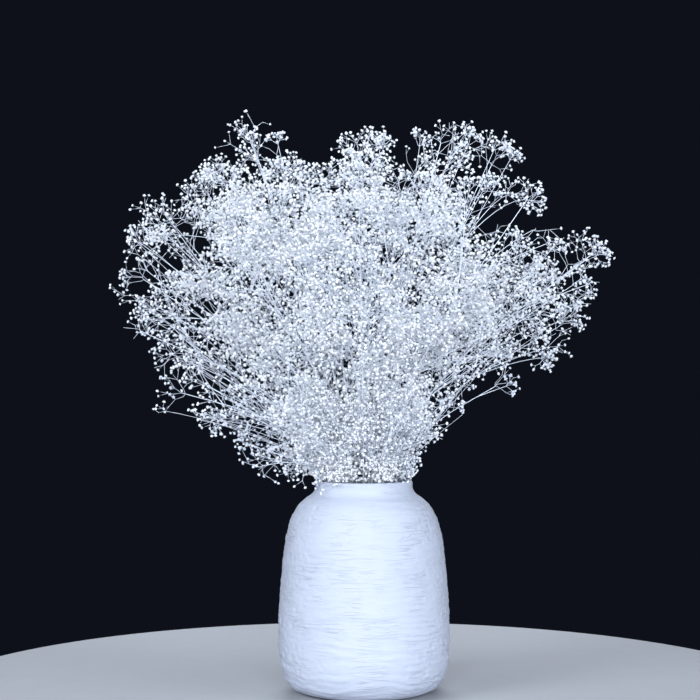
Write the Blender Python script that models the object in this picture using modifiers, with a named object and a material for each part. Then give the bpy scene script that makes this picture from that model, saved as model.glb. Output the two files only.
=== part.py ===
"""A bunch of preserved white gypsophila standing in a bulbous white ceramic vase.

Each stem of the bunch is one closed body. Its shaft stands on the floor of the vase, leans through the neck
and arches outwards. Side branches leave it above the rim, and shaft and branches end in whorls of stalks with
flower heads. A head here is larger than life and stands for the tuft of florets that grows at its place. The
bunch fills an outline drawn from the front, and no stem touches another. Lengths are in metres, +Z is up, and
the origin is the middle of the vase's flat base.
"""

import math
import random
from dataclasses import dataclass, field

import bmesh
import bpy
import numpy as np
from mathutils import Vector

UP = Vector((0, 0, 1))
GAP = 0.0003

# Section of the vase as radius and height: up the inner side, over the lip and down the outer side
VASE_SIDES = 36
RIM_HEIGHT = 0.210
FLOOR_HEIGHT = 0.007
NECK_RADIUS = 0.0438
INNER_SIDE = (
    (0.0000, FLOOR_HEIGHT),
    (0.0560, FLOOR_HEIGHT),
    (0.0720, 0.0160),
    (0.0808, 0.0400),
    (0.0805, 0.0750),
    (0.0775, 0.1200),
    (0.0725, 0.1600),
    (0.0620, 0.1800),
    (0.0480, 0.1930),
    (NECK_RADIUS, 0.2000),
    (NECK_RADIUS, 0.2080),
)
LIP = (
    (0.0452, 0.2096),
    (0.0466, RIM_HEIGHT),
    (0.0480, 0.2092),
)
OUTER_SIDE = (
    (0.0486, 0.2070),
    (0.0486, 0.2025),
    (0.0515, 0.1970),
    (0.0600, 0.1908),
    (0.0685, 0.1815),
    (0.0745, 0.1690),
    (0.0790, 0.1500),
    (0.0826, 0.1180),
    (0.0851, 0.0850),
    (0.0860, 0.0560),
    (0.0850, 0.0340),
    (0.0815, 0.0165),
    (0.0745, 0.0060),
    (0.0620, 0.0008),
    (0.0500, 0.0000),
    (0.0000, 0.0000),
)

# Tips of the stems, from the front: across, towards the back, and up
STEM_TIPS = (
    (-0.114, 0.010, 0.549),
    (-0.160, 0.060, 0.500),
    (-0.203, -0.025, 0.462),
    (-0.224, 0.030, 0.412),
    (-0.217, -0.045, 0.358),
    (-0.180, 0.010, 0.296),
    (-0.100, -0.025, 0.226),
    (-0.006, 0.035, 0.536),
    (0.076, -0.015, 0.545),
    (0.130, 0.035, 0.528),
    (0.158, -0.050, 0.486),
    (0.222, 0.005, 0.430),
    (0.196, 0.040, 0.362),
    (0.130, -0.015, 0.304),
    (-0.110, -0.145, 0.420),
    (-0.005, -0.170, 0.430),
    (0.105, -0.150, 0.410),
    (-0.085, -0.125, 0.295),
    (0.050, -0.125, 0.290),
    (-0.100, 0.150, 0.430),
    (0.010, 0.170, 0.450),
    (0.115, 0.145, 0.415),
    (-0.065, 0.125, 0.295),
    (0.060, 0.120, 0.295),
    (0.036, -0.080, 0.488),
    (-0.060, -0.070, 0.488),
)
FOOT_RADIUS = 0.0016
TIP_RADIUS = 0.0009
FOOT_SPREAD = 0.55
NECK_SPREAD = 0.0405
NECK_SPACING = 0.0095
NECK_HEIGHT = RIM_HEIGHT + 0.003
NECK_ROUNDS = 200
FAN_HEIGHT = 0.147
WIDEST_LEAN = math.radians(52)

# Arch of a stem: its lean at both ends as shares of the way to the tip, and its pulls as shares of the reach
START_LEAN = 0.50
END_LEAN = 1.25
MOST_LEAN = math.radians(100)
START_PULL = 0.40
END_PULL = 0.35
NECK_CARRY = 0.30
STEM_BENDS = 6
STEM_SWAYS = (0.0, 0.02, -0.02, 0.04, -0.04, 0.06, -0.06, 0.09, -0.09)

# Outline of the bunch seen from the front, across and up
OUTLINE = (
    (-0.049, 0.206),
    (-0.095, 0.196),
    (-0.125, 0.232),
    (-0.175, 0.272),
    (-0.214, 0.300),
    (-0.207, 0.332),
    (-0.244, 0.372),
    (-0.255, 0.430),
    (-0.240, 0.478),
    (-0.190, 0.515),
    (-0.165, 0.545),
    (-0.138, 0.575),
    (-0.095, 0.574),
    (-0.068, 0.535),
    (-0.040, 0.532),
    (-0.005, 0.562),
    (0.036, 0.548),
    (0.075, 0.574),
    (0.140, 0.560),
    (0.178, 0.520),
    (0.190, 0.470),
    (0.252, 0.456),
    (0.250, 0.410),
    (0.215, 0.345),
    (0.175, 0.318),
    (0.110, 0.300),
    (0.078, 0.258),
    (0.049, 0.206),
)
DEPTH_SHARE = 0.80
MARGIN = 0.022

# Side branches: how many shoots there are in all, how far apart their ends, and how they leave the stem
SEED = 7
SHOOTS = 146
SHOOT_SPACING = 0.043
LOW_SHOOTS = 26
LOW_HEIGHTS = (0.222, 0.280)
HEIGHTS = (0.240, 0.560)
HALF_WIDTH = 0.240
HALF_DEPTH = 0.200
MOST_DARTS = 6000
NEAREST_STEMS = 4
BRANCH_TRIES = 16
BRANCH_RADIUS = 0.00085
BRANCH_TIP_RADIUS = 0.0006
BRANCH_ANGLES = (math.radians(18), math.radians(75))
BRANCH_DROPS = (0.6, 1.7)
BRANCH_BULGES = (0.02, 0.16)
BULGE_PLACE = 0.45
LONG_BRANCH = 0.055
LONG_BENDS = (0.36, 0.70, 1.0)
SHORT_BENDS = (0.50, 1.0)
NODE_LENGTH = 0.0024
NODE_SPACING = 0.0065
LOWEST_NODE = RIM_HEIGHT + 0.006
LAST_NODE = 0.020
ROOT = 0.007

# The whorl of stalks that ends a shoot, and its heads
STALK_RADIUS = 0.00045
STALK_LENGTHS = (0.018, 0.025)
STALK_CUTS = (1.0, 0.85, 0.72)
STALK_SPLAY = math.radians(58)
SPLAY_CHANGE = math.radians(8.5)
SIDE_STALKS = 3
FEWEST_STALKS = 2
HEAD_RADIUS = 0.0074
CLEARANCE = 0.0008

# A head is an octahedron on a funnel: where its rings lie and how wide they are, in head radii
RING_OFFSET = 0.577
RING_RADIUS = 0.816
RING_TURN = math.radians(60)
FUNNEL_OFFSET = 1.32
FUNNEL_BALL = (1.08, 0.45)

CERAMIC = (0.86, 0.88, 0.93, 1.0)
BLEACHED = (0.88, 0.89, 0.90, 1.0)


# Limits of the bunch

def vase_radius(height):
    """Outer radius of the vase at a height, and that of the neck above its last point."""
    for (upper, high), (lower, low) in zip(OUTER_SIDE, OUTER_SIDE[1:]):
        if low <= height < high:
            return lower + (upper - lower) * (height - low) / (high - low)
    return OUTER_SIDE[0][0]


def clear_of_vase(point, radius):
    """Whether a ball here stays outside the vase and above its mouth."""
    reach = radius + CLEARANCE
    if point.z > RIM_HEIGHT + reach:
        return True
    across = math.hypot(point.x, point.y)
    heights = (point.z - reach, point.z, point.z + reach)
    return all(across > vase_radius(height) + reach for height in heights)


def outline_edges():
    """Pairs of neighbouring points round the outline."""
    return zip(OUTLINE, OUTLINE[1:] + OUTLINE[:1])


def outline_span(height):
    """Middle of the outline and half of its width at a height."""
    crossings = []
    for (x0, z0), (x1, z1) in outline_edges():
        if (z0 > height) != (z1 > height):
            crossings.append(x0 + (x1 - x0) * (height - z0) / (z1 - z0))
    low, high = min(crossings), max(crossings)
    return (low + high) / 2, (high - low) / 2


def inside_by(x, z):
    """How far inside the outline a point lies, below zero where it is outside."""
    inside = False
    nearest = math.inf
    for (x0, z0), (x1, z1) in outline_edges():
        if (z0 > z) != (z1 > z) and x < x0 + (x1 - x0) * (z - z0) / (z1 - z0):
            inside = not inside
        dx, dz = x1 - x0, z1 - z0
        along = ((x - x0) * dx + (z - z0) * dz) / (dx * dx + dz * dz)
        along = min(max(along, 0.0), 1.0)
        nearest = min(nearest, math.hypot(x0 + along * dx - x, z0 + along * dz - z))
    return nearest if inside else -nearest


def in_bunch(point):
    """Whether a shoot may end here: inside the outline, and within an ellipse across the bunch's depth."""
    if inside_by(point.x, point.z) < MARGIN:
        return False
    middle, half = outline_span(point.z)
    share = (point.x - middle) / half
    return abs(point.y) < DEPTH_SHARE * half * math.sqrt(1 - share * share) - MARGIN / 2


class Room:
    """Round-ended rods that stand for all that has grown, to test a new one against."""

    def __init__(self):
        self.starts = np.zeros((0, 3))
        self.ends = np.zeros((0, 3))
        self.radii = np.zeros(0)

    def add(self, rods):
        """Takes up rods, each a start, an end and a radius."""
        for start, end, radius in rods:
            self.starts = np.vstack([self.starts, start])
            self.ends = np.vstack([self.ends, end])
            self.radii = np.append(self.radii, radius)

    def gap(self, start, end, radius):
        """Least distance from the skin of a rod to what has grown, by the nearest points of two segments."""
        if not len(self.radii):
            return math.inf
        start, end = np.array(start), np.array(end)
        along, others = end - start, self.ends - self.starts
        between = start - self.starts
        a = max(float(along @ along), 1e-12)
        e = np.maximum((others * others).sum(1), 1e-12)
        b = others @ along
        c = between @ along
        f = (others * between).sum(1)
        share = np.clip((b * f - c * e) / np.maximum(a * e - b * b, 1e-12), 0, 1)
        other = np.clip((b * share + f) / e, 0, 1)
        share = np.clip((b * other - c) / a, 0, 1)
        apart = between + share[:, None] * along - other[:, None] * others
        return float((np.sqrt((apart * apart).sum(1)) - self.radii).min()) - radius

    def takes(self, rods):
        """Whether all of these rods are clear of what has grown."""
        return all(self.gap(*rod) > CLEARANCE for rod in rods)


# Growth of the bunch as lines

@dataclass
class Whorl:
    """Stalks that spread from the end of a shoot, each a direction and a length."""

    centre: Vector
    axis: Vector
    side: Vector
    stalks: list = field(default_factory=list)


@dataclass
class Branch:
    """A side branch: where on the stem it leaves, its line from the stem's middle outwards, and its whorl."""

    at: float
    line: list
    whorl: Whorl


@dataclass
class Stem:
    """A shaft from foot to tip, with the branches on it and the whorl that ends it."""

    name: str
    line: list
    branches: list = field(default_factory=list)
    whorl: Whorl = None

    def __post_init__(self):
        self.marks = [0.0]
        for start, end in zip(self.line, self.line[1:]):
            self.marks.append(self.marks[-1] + (end - start).length)
        self.length = self.marks[-1]

    def run(self, at):
        """Number of the straight run that holds the point this far along."""
        return next(i for i, mark in enumerate(self.marks[1:]) if at <= mark or mark == self.length)

    def direction(self, at):
        """Direction of the shaft there."""
        run = self.run(at)
        return (self.line[run + 1] - self.line[run]).normalized()

    def point(self, at):
        """Point in the middle of the shaft, this far along it."""
        run = self.run(at)
        return self.line[run] + self.direction(at) * (at - self.marks[run])

    def radius(self, at):
        """The shaft tapers evenly from foot to tip."""
        return FOOT_RADIUS + (TIP_RADIUS - FOOT_RADIUS) * at / self.length

    def node_fits(self, at):
        """Whether a branch can leave here: over the rim, below the tip, and clear of bends and other nodes."""
        if self.point(at).z < LOWEST_NODE or at > self.length - LAST_NODE:
            return False
        if any(abs(at - mark) < NODE_LENGTH for mark in self.marks):
            return False
        return all(abs(at - other.at) > NODE_SPACING for other in self.branches)

    def nearest(self, point):
        """Distance to a point, and how far along the shaft it is nearest."""
        found = []
        for mark, start, end in zip(self.marks, self.line, self.line[1:]):
            along = (end - start).normalized()
            at = min(max((point - start).dot(along), 0.0), (end - start).length)
            found.append(((start + along * at - point).length, mark + at))
        return min(found)


def leaning(level, lean):
    """Direction that leans this far from upright towards a level direction."""
    return level * math.sin(lean) + UP * math.cos(lean)


def lean_of(offset):
    """Level direction of an offset, and how far it leans from upright."""
    level = Vector((offset.x, offset.y, 0))
    return level.normalized(), math.atan2(level.length, offset.z)


def neck_places():
    """Where each stem passes the neck: on its tip's side, the lowest stems outermost, and pushed apart."""
    places = []
    for tip in STEM_TIPS:
        level, lean = lean_of(Vector(tip) - UP * FAN_HEIGHT)
        places.append(level * NECK_SPREAD * min(1.0, lean / WIDEST_LEAN))
    for _ in range(NECK_ROUNDS):
        for i, place in enumerate(places):
            for other in places[:i]:
                push = (place - other).normalized() * max(0.0, NECK_SPACING - (place - other).length) / 2
                place += push
                other -= push
        for place in places:
            place *= min(1.0, NECK_SPREAD / place.length)
    return places


def stem_line(place, tip, sway):
    """Middle line of a stem: straight from the vase's floor to the neck, then an arch to its tip.

    The arch sways sideways by a share of its reach.
    """
    neck = place + UP * NECK_HEIGHT
    foot = place * FOOT_SPREAD + UP * (FLOOR_HEIGHT + GAP)
    foot.z += FOOT_RADIUS * math.sin((neck - foot).angle(UP))
    level, lean = lean_of(tip - neck)
    reach = (tip - neck).length
    aside = level.cross(UP) * reach * sway
    start = leaning(level, lean * START_LEAN).lerp((neck - foot).normalized(), NECK_CARRY)
    first = neck + start * reach * START_PULL
    last = tip - leaning(level, min(lean * END_LEAN, MOST_LEAN)) * reach * END_PULL + aside
    line = [foot]
    for i in range(STEM_BENDS + 1):
        t = i / STEM_BENDS
        s = 1 - t
        line.append(neck * s ** 3 + first * (3 * s * s * t) + last * (3 * s * t * t) + tip * t ** 3)
    return line


def line_rods(line, radius):
    """Rods along a line."""
    return [(start, end, radius) for start, end in zip(line, line[1:])]


def branch_rods(line):
    """Rods along a side branch, beyond its root in the stem."""
    root = line[0] + (line[1] - line[0]).normalized() * ROOT
    return line_rods([root] + line[1:], BRANCH_RADIUS)


def stalk_rods(centre, direction, length):
    """Rods for a stalk beyond its root, its head, and the funnel below the head."""
    offset, share = FUNNEL_BALL
    head = centre + direction * length
    funnel = head - direction * HEAD_RADIUS * offset
    return [
        (centre + direction * ROOT, head, STALK_RADIUS),
        (head, head, HEAD_RADIUS),
        (funnel, funnel, HEAD_RADIUS * share),
    ]


def grow_whorl(line, room, draw):
    """The whorl that ends this line, with a middle stalk and splayed ones wherever their heads find room."""
    axis = (line[-1] - line[-2]).normalized()
    turn = draw.uniform(0, 2 * math.pi)
    level = axis.orthogonal().normalized()
    side = level * math.cos(turn) + axis.cross(level) * math.sin(turn)
    whorl = Whorl(line[-1], axis, side)
    directions = [axis]
    for i in range(SIDE_STALKS):
        around = 2 * math.pi * i / SIDE_STALKS
        outwards = side * math.cos(around) + axis.cross(side) * math.sin(around)
        splay = STALK_SPLAY + draw.uniform(-SPLAY_CHANGE, SPLAY_CHANGE)
        directions.append(axis * math.cos(splay) + outwards * math.sin(splay))
    own = Room()
    for direction in directions:
        length = draw.uniform(*STALK_LENGTHS)
        for share in STALK_CUTS:
            rods = stalk_rods(whorl.centre, direction, length * share)
            if clear_of_vase(rods[0][1], HEAD_RADIUS) and own.takes(rods) and room.takes(rods):
                whorl.stalks.append((direction, length * share))
                own.add(rods)
                break
    return whorl


def whorl_rods(whorl):
    """Rods for all stalks of a whorl."""
    rods = []
    for direction, length in whorl.stalks:
        rods += stalk_rods(whorl.centre, direction, length)
    return rods


def branch_line(stem, at, end, bulge):
    """Middle line of a branch that leaves the stem along it and bends over to its end."""
    root = stem.point(at)
    reach = (end - root).length
    middle = root.lerp(end, BULGE_PLACE) + stem.direction(at) * reach * bulge
    shares = LONG_BENDS if reach > LONG_BRANCH else SHORT_BENDS
    return [root] + [root * (1 - t) ** 2 + middle * (2 * t * (1 - t)) + end * t * t for t in shares]


def find_branch(end, stems, room, draw):
    """A stem and the line of a branch from it to this end that is clear of all else, or None."""
    nearest = sorted((*stem.nearest(end), i) for i, stem in enumerate(stems))
    for away, closest, i in nearest[:NEAREST_STEMS]:
        for _ in range(BRANCH_TRIES):
            at = closest - away * draw.uniform(*BRANCH_DROPS)
            bulge = draw.uniform(*BRANCH_BULGES)
            if at <= 0 or not stems[i].node_fits(at):
                continue
            line = branch_line(stems[i], at, end, bulge)
            angle = (line[1] - line[0]).angle(stems[i].direction(at))
            if not BRANCH_ANGLES[0] < angle < BRANCH_ANGLES[1]:
                continue
            rods = branch_rods(line)
            if all(clear_of_vase(start, BRANCH_RADIUS) for start, _, _ in rods) and room.takes(rods):
                return stems[i], at, line
    return None


def add_branches(stems, room, ends, heights, count, draw):
    """Throws darts at the bunch between two heights, and grows a branch to each that finds room."""
    for _ in range(MOST_DARTS):
        if len(ends) >= count:
            return
        across = draw.uniform(-HALF_WIDTH, HALF_WIDTH)
        end = Vector((across, draw.uniform(-HALF_DEPTH, HALF_DEPTH), draw.uniform(*heights)))
        if not in_bunch(end) or any((end - other).length < SHOOT_SPACING for other in ends):
            continue
        if not clear_of_vase(end, HEAD_RADIUS):
            continue
        found = find_branch(end, stems, room, draw)
        if not found:
            continue
        stem, at, line = found
        whorl = grow_whorl(line, room, draw)
        if len(whorl.stalks) < FEWEST_STALKS:
            continue
        stem.branches.append(Branch(at, line, whorl))
        ends.append(end)
        room.add(branch_rods(line) + whorl_rods(whorl))


def grow_shafts(room):
    """The bare stems, each with the least sway that keeps it clear of those before it."""
    stems = []
    for number, (place, tip) in enumerate(zip(neck_places(), STEM_TIPS), start=1):
        lines = (stem_line(place, Vector(tip), sway) for sway in STEM_SWAYS)
        line = next(line for line in lines if room.takes(line_rods(line, FOOT_RADIUS)))
        stems.append(Stem(f"spray_{number:02d}", line))
        room.add(line_rods(line, FOOT_RADIUS))
    return stems


def grow_bunch():
    """All stems with their branches and whorls, as lines."""
    draw = random.Random(SEED)
    room = Room()
    stems = grow_shafts(room)
    ends = [stem.line[-1] for stem in stems]
    for stem in stems:
        stem.whorl = grow_whorl(stem.line, room, draw)
        room.add(whorl_rods(stem.whorl))
    add_branches(stems, room, ends, LOW_HEIGHTS, len(stems) + LOW_SHOOTS, draw)
    add_branches(stems, room, ends, HEIGHTS, SHOOTS, draw)
    return stems


# Solids: a stem is one mesh of three-sided tubes, each shoot raised from a face of what it grows from

def lay_ring(face, centre, axis, radius, facing=None, turn=0.0):
    """Sets a triangular cap round a centre. A side of its tube faces the given way, or it keeps its turn."""
    level = axis.orthogonal().normalized()
    other = axis.cross(level)
    corners = [loop.vert for loop in face.loops]
    middle = sum((corner.co for corner in corners), Vector()) / 3
    third = 2 * math.pi / 3
    swing = Vector((0, 0))
    for i, corner in enumerate(corners):
        offset = corner.co - middle
        angle = math.atan2(offset.dot(other), offset.dot(level)) - i * third
        swing += Vector((math.cos(angle), math.sin(angle)))
    first = math.atan2(swing.y, swing.x) + turn
    if facing is not None:
        wanted = math.atan2(facing.dot(other), facing.dot(level)) + third / 2
        first += (wanted - first + third / 2) % third - third / 2
    for i, corner in enumerate(corners):
        angle = first + i * third
        corner.co = centre + (level * math.cos(angle) + other * math.sin(angle)) * radius


def raise_ring(bm, face, centre, axis, radius, facing=None, turn=0.0):
    """Raises the cap of a tube to a new ring, and returns the new cap."""
    cap = bmesh.ops.extrude_discrete_faces(bm, faces=[face])["faces"][0]
    lay_ring(cap, centre, axis, radius, facing, turn)
    return cap


def split_side(cap, direction):
    """Half of the side below a cap that faces this way most."""
    sides = [face for edge in cap.edges for face in edge.link_faces if len(face.verts) == 4]
    for side in sides:
        side.normal_update()
    side = max(sides, key=lambda face: face.normal.dot(direction))
    bmesh.utils.face_split(side, side.verts[0], side.verts[2])
    return side


def raise_stalk(bm, face, centre, direction, length):
    """A stalk that widens into the funnel and the faceted crown of a head."""
    head = centre + direction * length
    low = head - direction * HEAD_RADIUS * RING_OFFSET
    high = head + direction * HEAD_RADIUS * RING_OFFSET
    ring = HEAD_RADIUS * RING_RADIUS
    face = raise_ring(bm, face, head - direction * HEAD_RADIUS * FUNNEL_OFFSET, direction, STALK_RADIUS)
    face = raise_ring(bm, face, low, direction, ring)
    raise_ring(bm, face, high, direction, ring, turn=RING_TURN)


def raise_whorl(bm, face, whorl, radius):
    """The node that ends a shoot, with a stalk from each face that has one."""
    half = whorl.axis * NODE_LENGTH / 2
    face = raise_ring(bm, face, whorl.centre - half, whorl.axis, radius, facing=whorl.side)
    cap = raise_ring(bm, face, whorl.centre + half, whorl.axis, radius)
    for direction, length in reversed(whorl.stalks):
        face = cap if direction == whorl.axis else split_side(cap, direction)
        raise_stalk(bm, face, whorl.centre, direction, length)


def raise_branch(bm, face, branch):
    """A side branch, from the face of the stem that it leaves."""
    line = branch.line
    for before, point, after in zip(line, line[1:], line[2:]):
        face = raise_ring(bm, face, point, (after - before).normalized(), BRANCH_RADIUS)
    raise_whorl(bm, face, branch.whorl, BRANCH_TIP_RADIUS)


def raise_shaft(bm, stem):
    """The shaft of a stem with its branches, up to the last bend, and returns its cap."""
    ring = bmesh.ops.create_circle(bm, cap_ends=True, segments=3, radius=FOOT_RADIUS)["verts"]
    face = ring[0].link_faces[0]
    if face.normal.z < 0:
        face.normal_flip()
    lay_ring(face, stem.line[0], stem.direction(0), FOOT_RADIUS)
    face.copy(verts=False, edges=False).normal_flip()
    bends = [(mark, None) for mark in stem.marks[1:-1]]
    nodes = [(branch.at, branch) for branch in stem.branches]
    for at, branch in sorted(bends + nodes, key=lambda station: station[0]):
        radius = stem.radius(at)
        centre = stem.point(at)
        if branch is None:
            axis = (stem.direction(at) + stem.direction(at + NODE_LENGTH)).normalized()
            face = raise_ring(bm, face, centre, axis, radius)
            continue
        axis = stem.direction(at)
        out = (branch.line[1] - branch.line[0]).normalized()
        half = axis * NODE_LENGTH / 2
        face = raise_ring(bm, face, centre - half, axis, radius, facing=out)
        face = raise_ring(bm, face, centre + half, axis, radius)
        raise_branch(bm, split_side(face, out), branch)
    return face


def add_spray(collection, stem, finish):
    """One stem with all that grows on it, as one closed body."""
    bm = bmesh.new()
    raise_whorl(bm, raise_shaft(bm, stem), stem.whorl, TIP_RADIUS)
    bmesh.ops.triangulate(bm, faces=bm.faces[:], quad_method="SHORT_EDGE")
    mesh = bpy.data.meshes.new(stem.name)
    bm.to_mesh(mesh)
    bm.free()
    mesh.materials.append(finish)
    collection.objects.link(bpy.data.objects.new(stem.name, mesh))


def add_vase(collection, finish):
    """The vase, turned from its section."""
    section = INNER_SIDE + LIP + OUTER_SIDE
    edges = [(i, i + 1) for i in range(len(section) - 1)]
    mesh = bpy.data.meshes.new("vase")
    mesh.from_pydata([(radius, 0.0, height) for radius, height in section], edges, [])
    mesh.materials.append(finish)
    vase = bpy.data.objects.new("vase", mesh)
    collection.objects.link(vase)
    screw = vase.modifiers.new("turn", "SCREW")
    screw.steps = VASE_SIDES
    screw.render_steps = VASE_SIDES
    screw.use_merge_vertices = True
    screw.merge_threshold = 0.00005


def plain_finish(name, colour, roughness):
    """A plain matt material."""
    made = bpy.data.materials.new(name)
    made.use_nodes = True
    shader = made.node_tree.nodes["Principled BSDF"]
    shader.inputs["Base Color"].default_value = colour
    shader.inputs["Roughness"].default_value = roughness
    shader.inputs["Metallic"].default_value = 0.0
    return made


def main():
    """Builds the vase and the bunch in one collection."""
    for old in list(bpy.data.objects):
        bpy.data.objects.remove(old)
    collection = bpy.data.collections.new("gypsophila_in_vase")
    bpy.context.scene.collection.children.link(collection)
    add_vase(collection, plain_finish("vase_ceramic", CERAMIC, 0.75))
    bleached = plain_finish("bleached_gypsophila", BLEACHED, 0.85)
    for stem in grow_bunch():
        add_spray(collection, stem, bleached)


main()
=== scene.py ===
"""Looks of a bunch of bleached gypsophila standing in a white ceramic vase.

The stems grow here by the rule and the random draws that their solids grew by, so each fine spray keeps the
place of its node. A head of the solids becomes a forked tuft of small florets, and short twigs, a few more
shoots and fine strands fill the bunch between the heads. The vase gets its brushed relief. Lengths are in
metres, +Z is up, and the front of the object faces -Y. EYE is the camera's place.
"""

import logging
import math
import random
from collections.abc import Callable, Iterator
from dataclasses import dataclass, field
from enum import Enum

import bmesh
import bpy
import numpy as np
from mathutils import Matrix, Vector, noise


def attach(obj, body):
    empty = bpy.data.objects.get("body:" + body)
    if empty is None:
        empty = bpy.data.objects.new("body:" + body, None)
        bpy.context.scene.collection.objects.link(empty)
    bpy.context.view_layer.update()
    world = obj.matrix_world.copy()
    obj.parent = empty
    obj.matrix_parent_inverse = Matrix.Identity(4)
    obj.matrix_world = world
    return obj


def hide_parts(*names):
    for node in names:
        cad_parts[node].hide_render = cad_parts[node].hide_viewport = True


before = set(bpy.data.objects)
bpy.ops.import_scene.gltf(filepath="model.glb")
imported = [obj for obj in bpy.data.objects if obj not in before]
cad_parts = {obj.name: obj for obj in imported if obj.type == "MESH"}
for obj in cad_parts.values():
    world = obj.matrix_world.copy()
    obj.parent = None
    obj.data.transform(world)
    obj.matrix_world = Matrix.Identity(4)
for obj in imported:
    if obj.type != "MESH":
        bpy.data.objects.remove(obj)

LOG = logging.getLogger("gypsophila")
BODY = "root"
UP = Vector((0, 0, 1))
EYE = Vector((-0.014, -1.8, 0.340))
FULL_TURN = 2 * math.pi
HALF = 0.5
TINY = 1e-12
WELD_SHARE = 0.01
Rod = tuple[Vector, Vector, float]
Colour = tuple[float, float, float, float]


# Lines and directions

def leaning(level: Vector, lean: float) -> Vector:
    """Direction that leans this far from upright towards a level direction."""
    return level * math.sin(lean) + UP * math.cos(lean)


def lean_of(offset: Vector) -> tuple[Vector, float]:
    """Level direction of an offset, and how far it leans from upright."""
    level = Vector((offset.x, offset.y, 0))
    return level.normalized(), math.atan2(level.length, offset.z)


def turned(axis: Vector, side: Vector, around: float) -> Vector:
    """A side direction turned round an axis."""
    return side * math.cos(around) + axis.cross(side) * math.sin(around)


def tilted(axis: Vector, tilt: float, around: float) -> Vector:
    """Direction tilted away from an axis, to a side that is given by a turn round it."""
    side = turned(axis, axis.orthogonal().normalized(), around)
    return axis * math.cos(tilt) + side * math.sin(tilt)


def arched(start: Vector, first: Vector, last: Vector, end: Vector, share: float) -> Vector:
    """Point on a smooth arch that is pulled towards two points between its ends.

    Args:
        start: Where the arch starts.
        first: Point that pulls its first part.
        last: Point that pulls its last part.
        end: Where it ends.
        share: How far along it the point is, from 0 to 1.

    Returns:
        The point.
    """
    rest = 1 - share
    near = start * rest ** 3 + first * (3 * rest * rest * share)
    return near + last * (3 * rest * share * share) + end * share ** 3


def bowed(start: Vector, bow: Vector, end: Vector, share: float) -> Vector:
    """Point on a line that bows towards a point."""
    rest = 1 - share
    return start * rest * rest + bow * (2 * share * rest) + end * share * share


def bowed_line(start: Vector, bow: Vector, end: Vector, rings: int) -> list[Vector]:
    """Points at even shares of a line that bows towards a point."""
    return [bowed(start, bow, end, i / rings) for i in range(rings + 1)]


def end_way(line: list[Vector]) -> Vector:
    """Direction of the last run of a line."""
    return (line[-1] - line[-2]).normalized()


def marks_along(line: list[Vector]) -> list[float]:
    """How far along a line each of its points is.

    Args:
        line: The line.

    Returns:
        The distances, from 0 to the length of the line.
    """
    marks = [0.0]
    for start, end in zip(line, line[1:]):
        marks.append(marks[-1] + (end - start).length)
    return marks


def clamped(share: float) -> float:
    """A share kept from 0 to 1."""
    return min(1.0, max(0.0, share))


# Sizes of the vase and the outline of the bunch, as in the solids

@dataclass(frozen=True)
class VaseForm:
    """Section of the vase, as radius and height up the inner side, over the lip and down the outer side."""

    rim_height: float = 0.210
    floor_height: float = 0.007
    inner_side: tuple = (
        (0.0000, 0.0070), (0.0560, 0.0070), (0.0720, 0.0160), (0.0808, 0.0400), (0.0805, 0.0750),
        (0.0775, 0.1200), (0.0725, 0.1600), (0.0620, 0.1800), (0.0480, 0.1930), (0.0438, 0.2000),
        (0.0438, 0.2080),
    )
    lip: tuple = (
        (0.0452, 0.2096), (0.0466, 0.2100), (0.0480, 0.2092),
    )
    outer_side: tuple = (
        (0.0486, 0.2070), (0.0486, 0.2025), (0.0515, 0.1970), (0.0600, 0.1908), (0.0685, 0.1815),
        (0.0745, 0.1690), (0.0790, 0.1500), (0.0826, 0.1180), (0.0851, 0.0850), (0.0860, 0.0560),
        (0.0850, 0.0340), (0.0815, 0.0165), (0.0745, 0.0060), (0.0620, 0.0008), (0.0500, 0.0000),
        (0.0000, 0.0000),
    )

    def radius_at(self, height: float) -> float:
        """Outer radius at a height, and that of the neck above its last point.

        Args:
            height: Height above the base.

        Returns:
            The radius.
        """
        for (upper, high), (lower, low) in zip(self.outer_side, self.outer_side[1:]):
            if low <= height < high:
                return lower + (upper - lower) * (height - low) / (high - low)
        return self.outer_side[0][0]

    def clears(self, point: Vector, radius: float, clearance: float) -> bool:
        """Whether a ball at a point stays outside the vase and above its mouth.

        Args:
            point: Middle of the ball.
            radius: Its radius.
            clearance: Least space round it.

        Returns:
            Whether it is clear.
        """
        reach = radius + clearance
        if point.z > self.rim_height + reach:
            return True
        across = math.hypot(point.x, point.y)
        heights = (point.z - reach, point.z, point.z + reach)
        return all(across > self.radius_at(height) + reach for height in heights)


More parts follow.
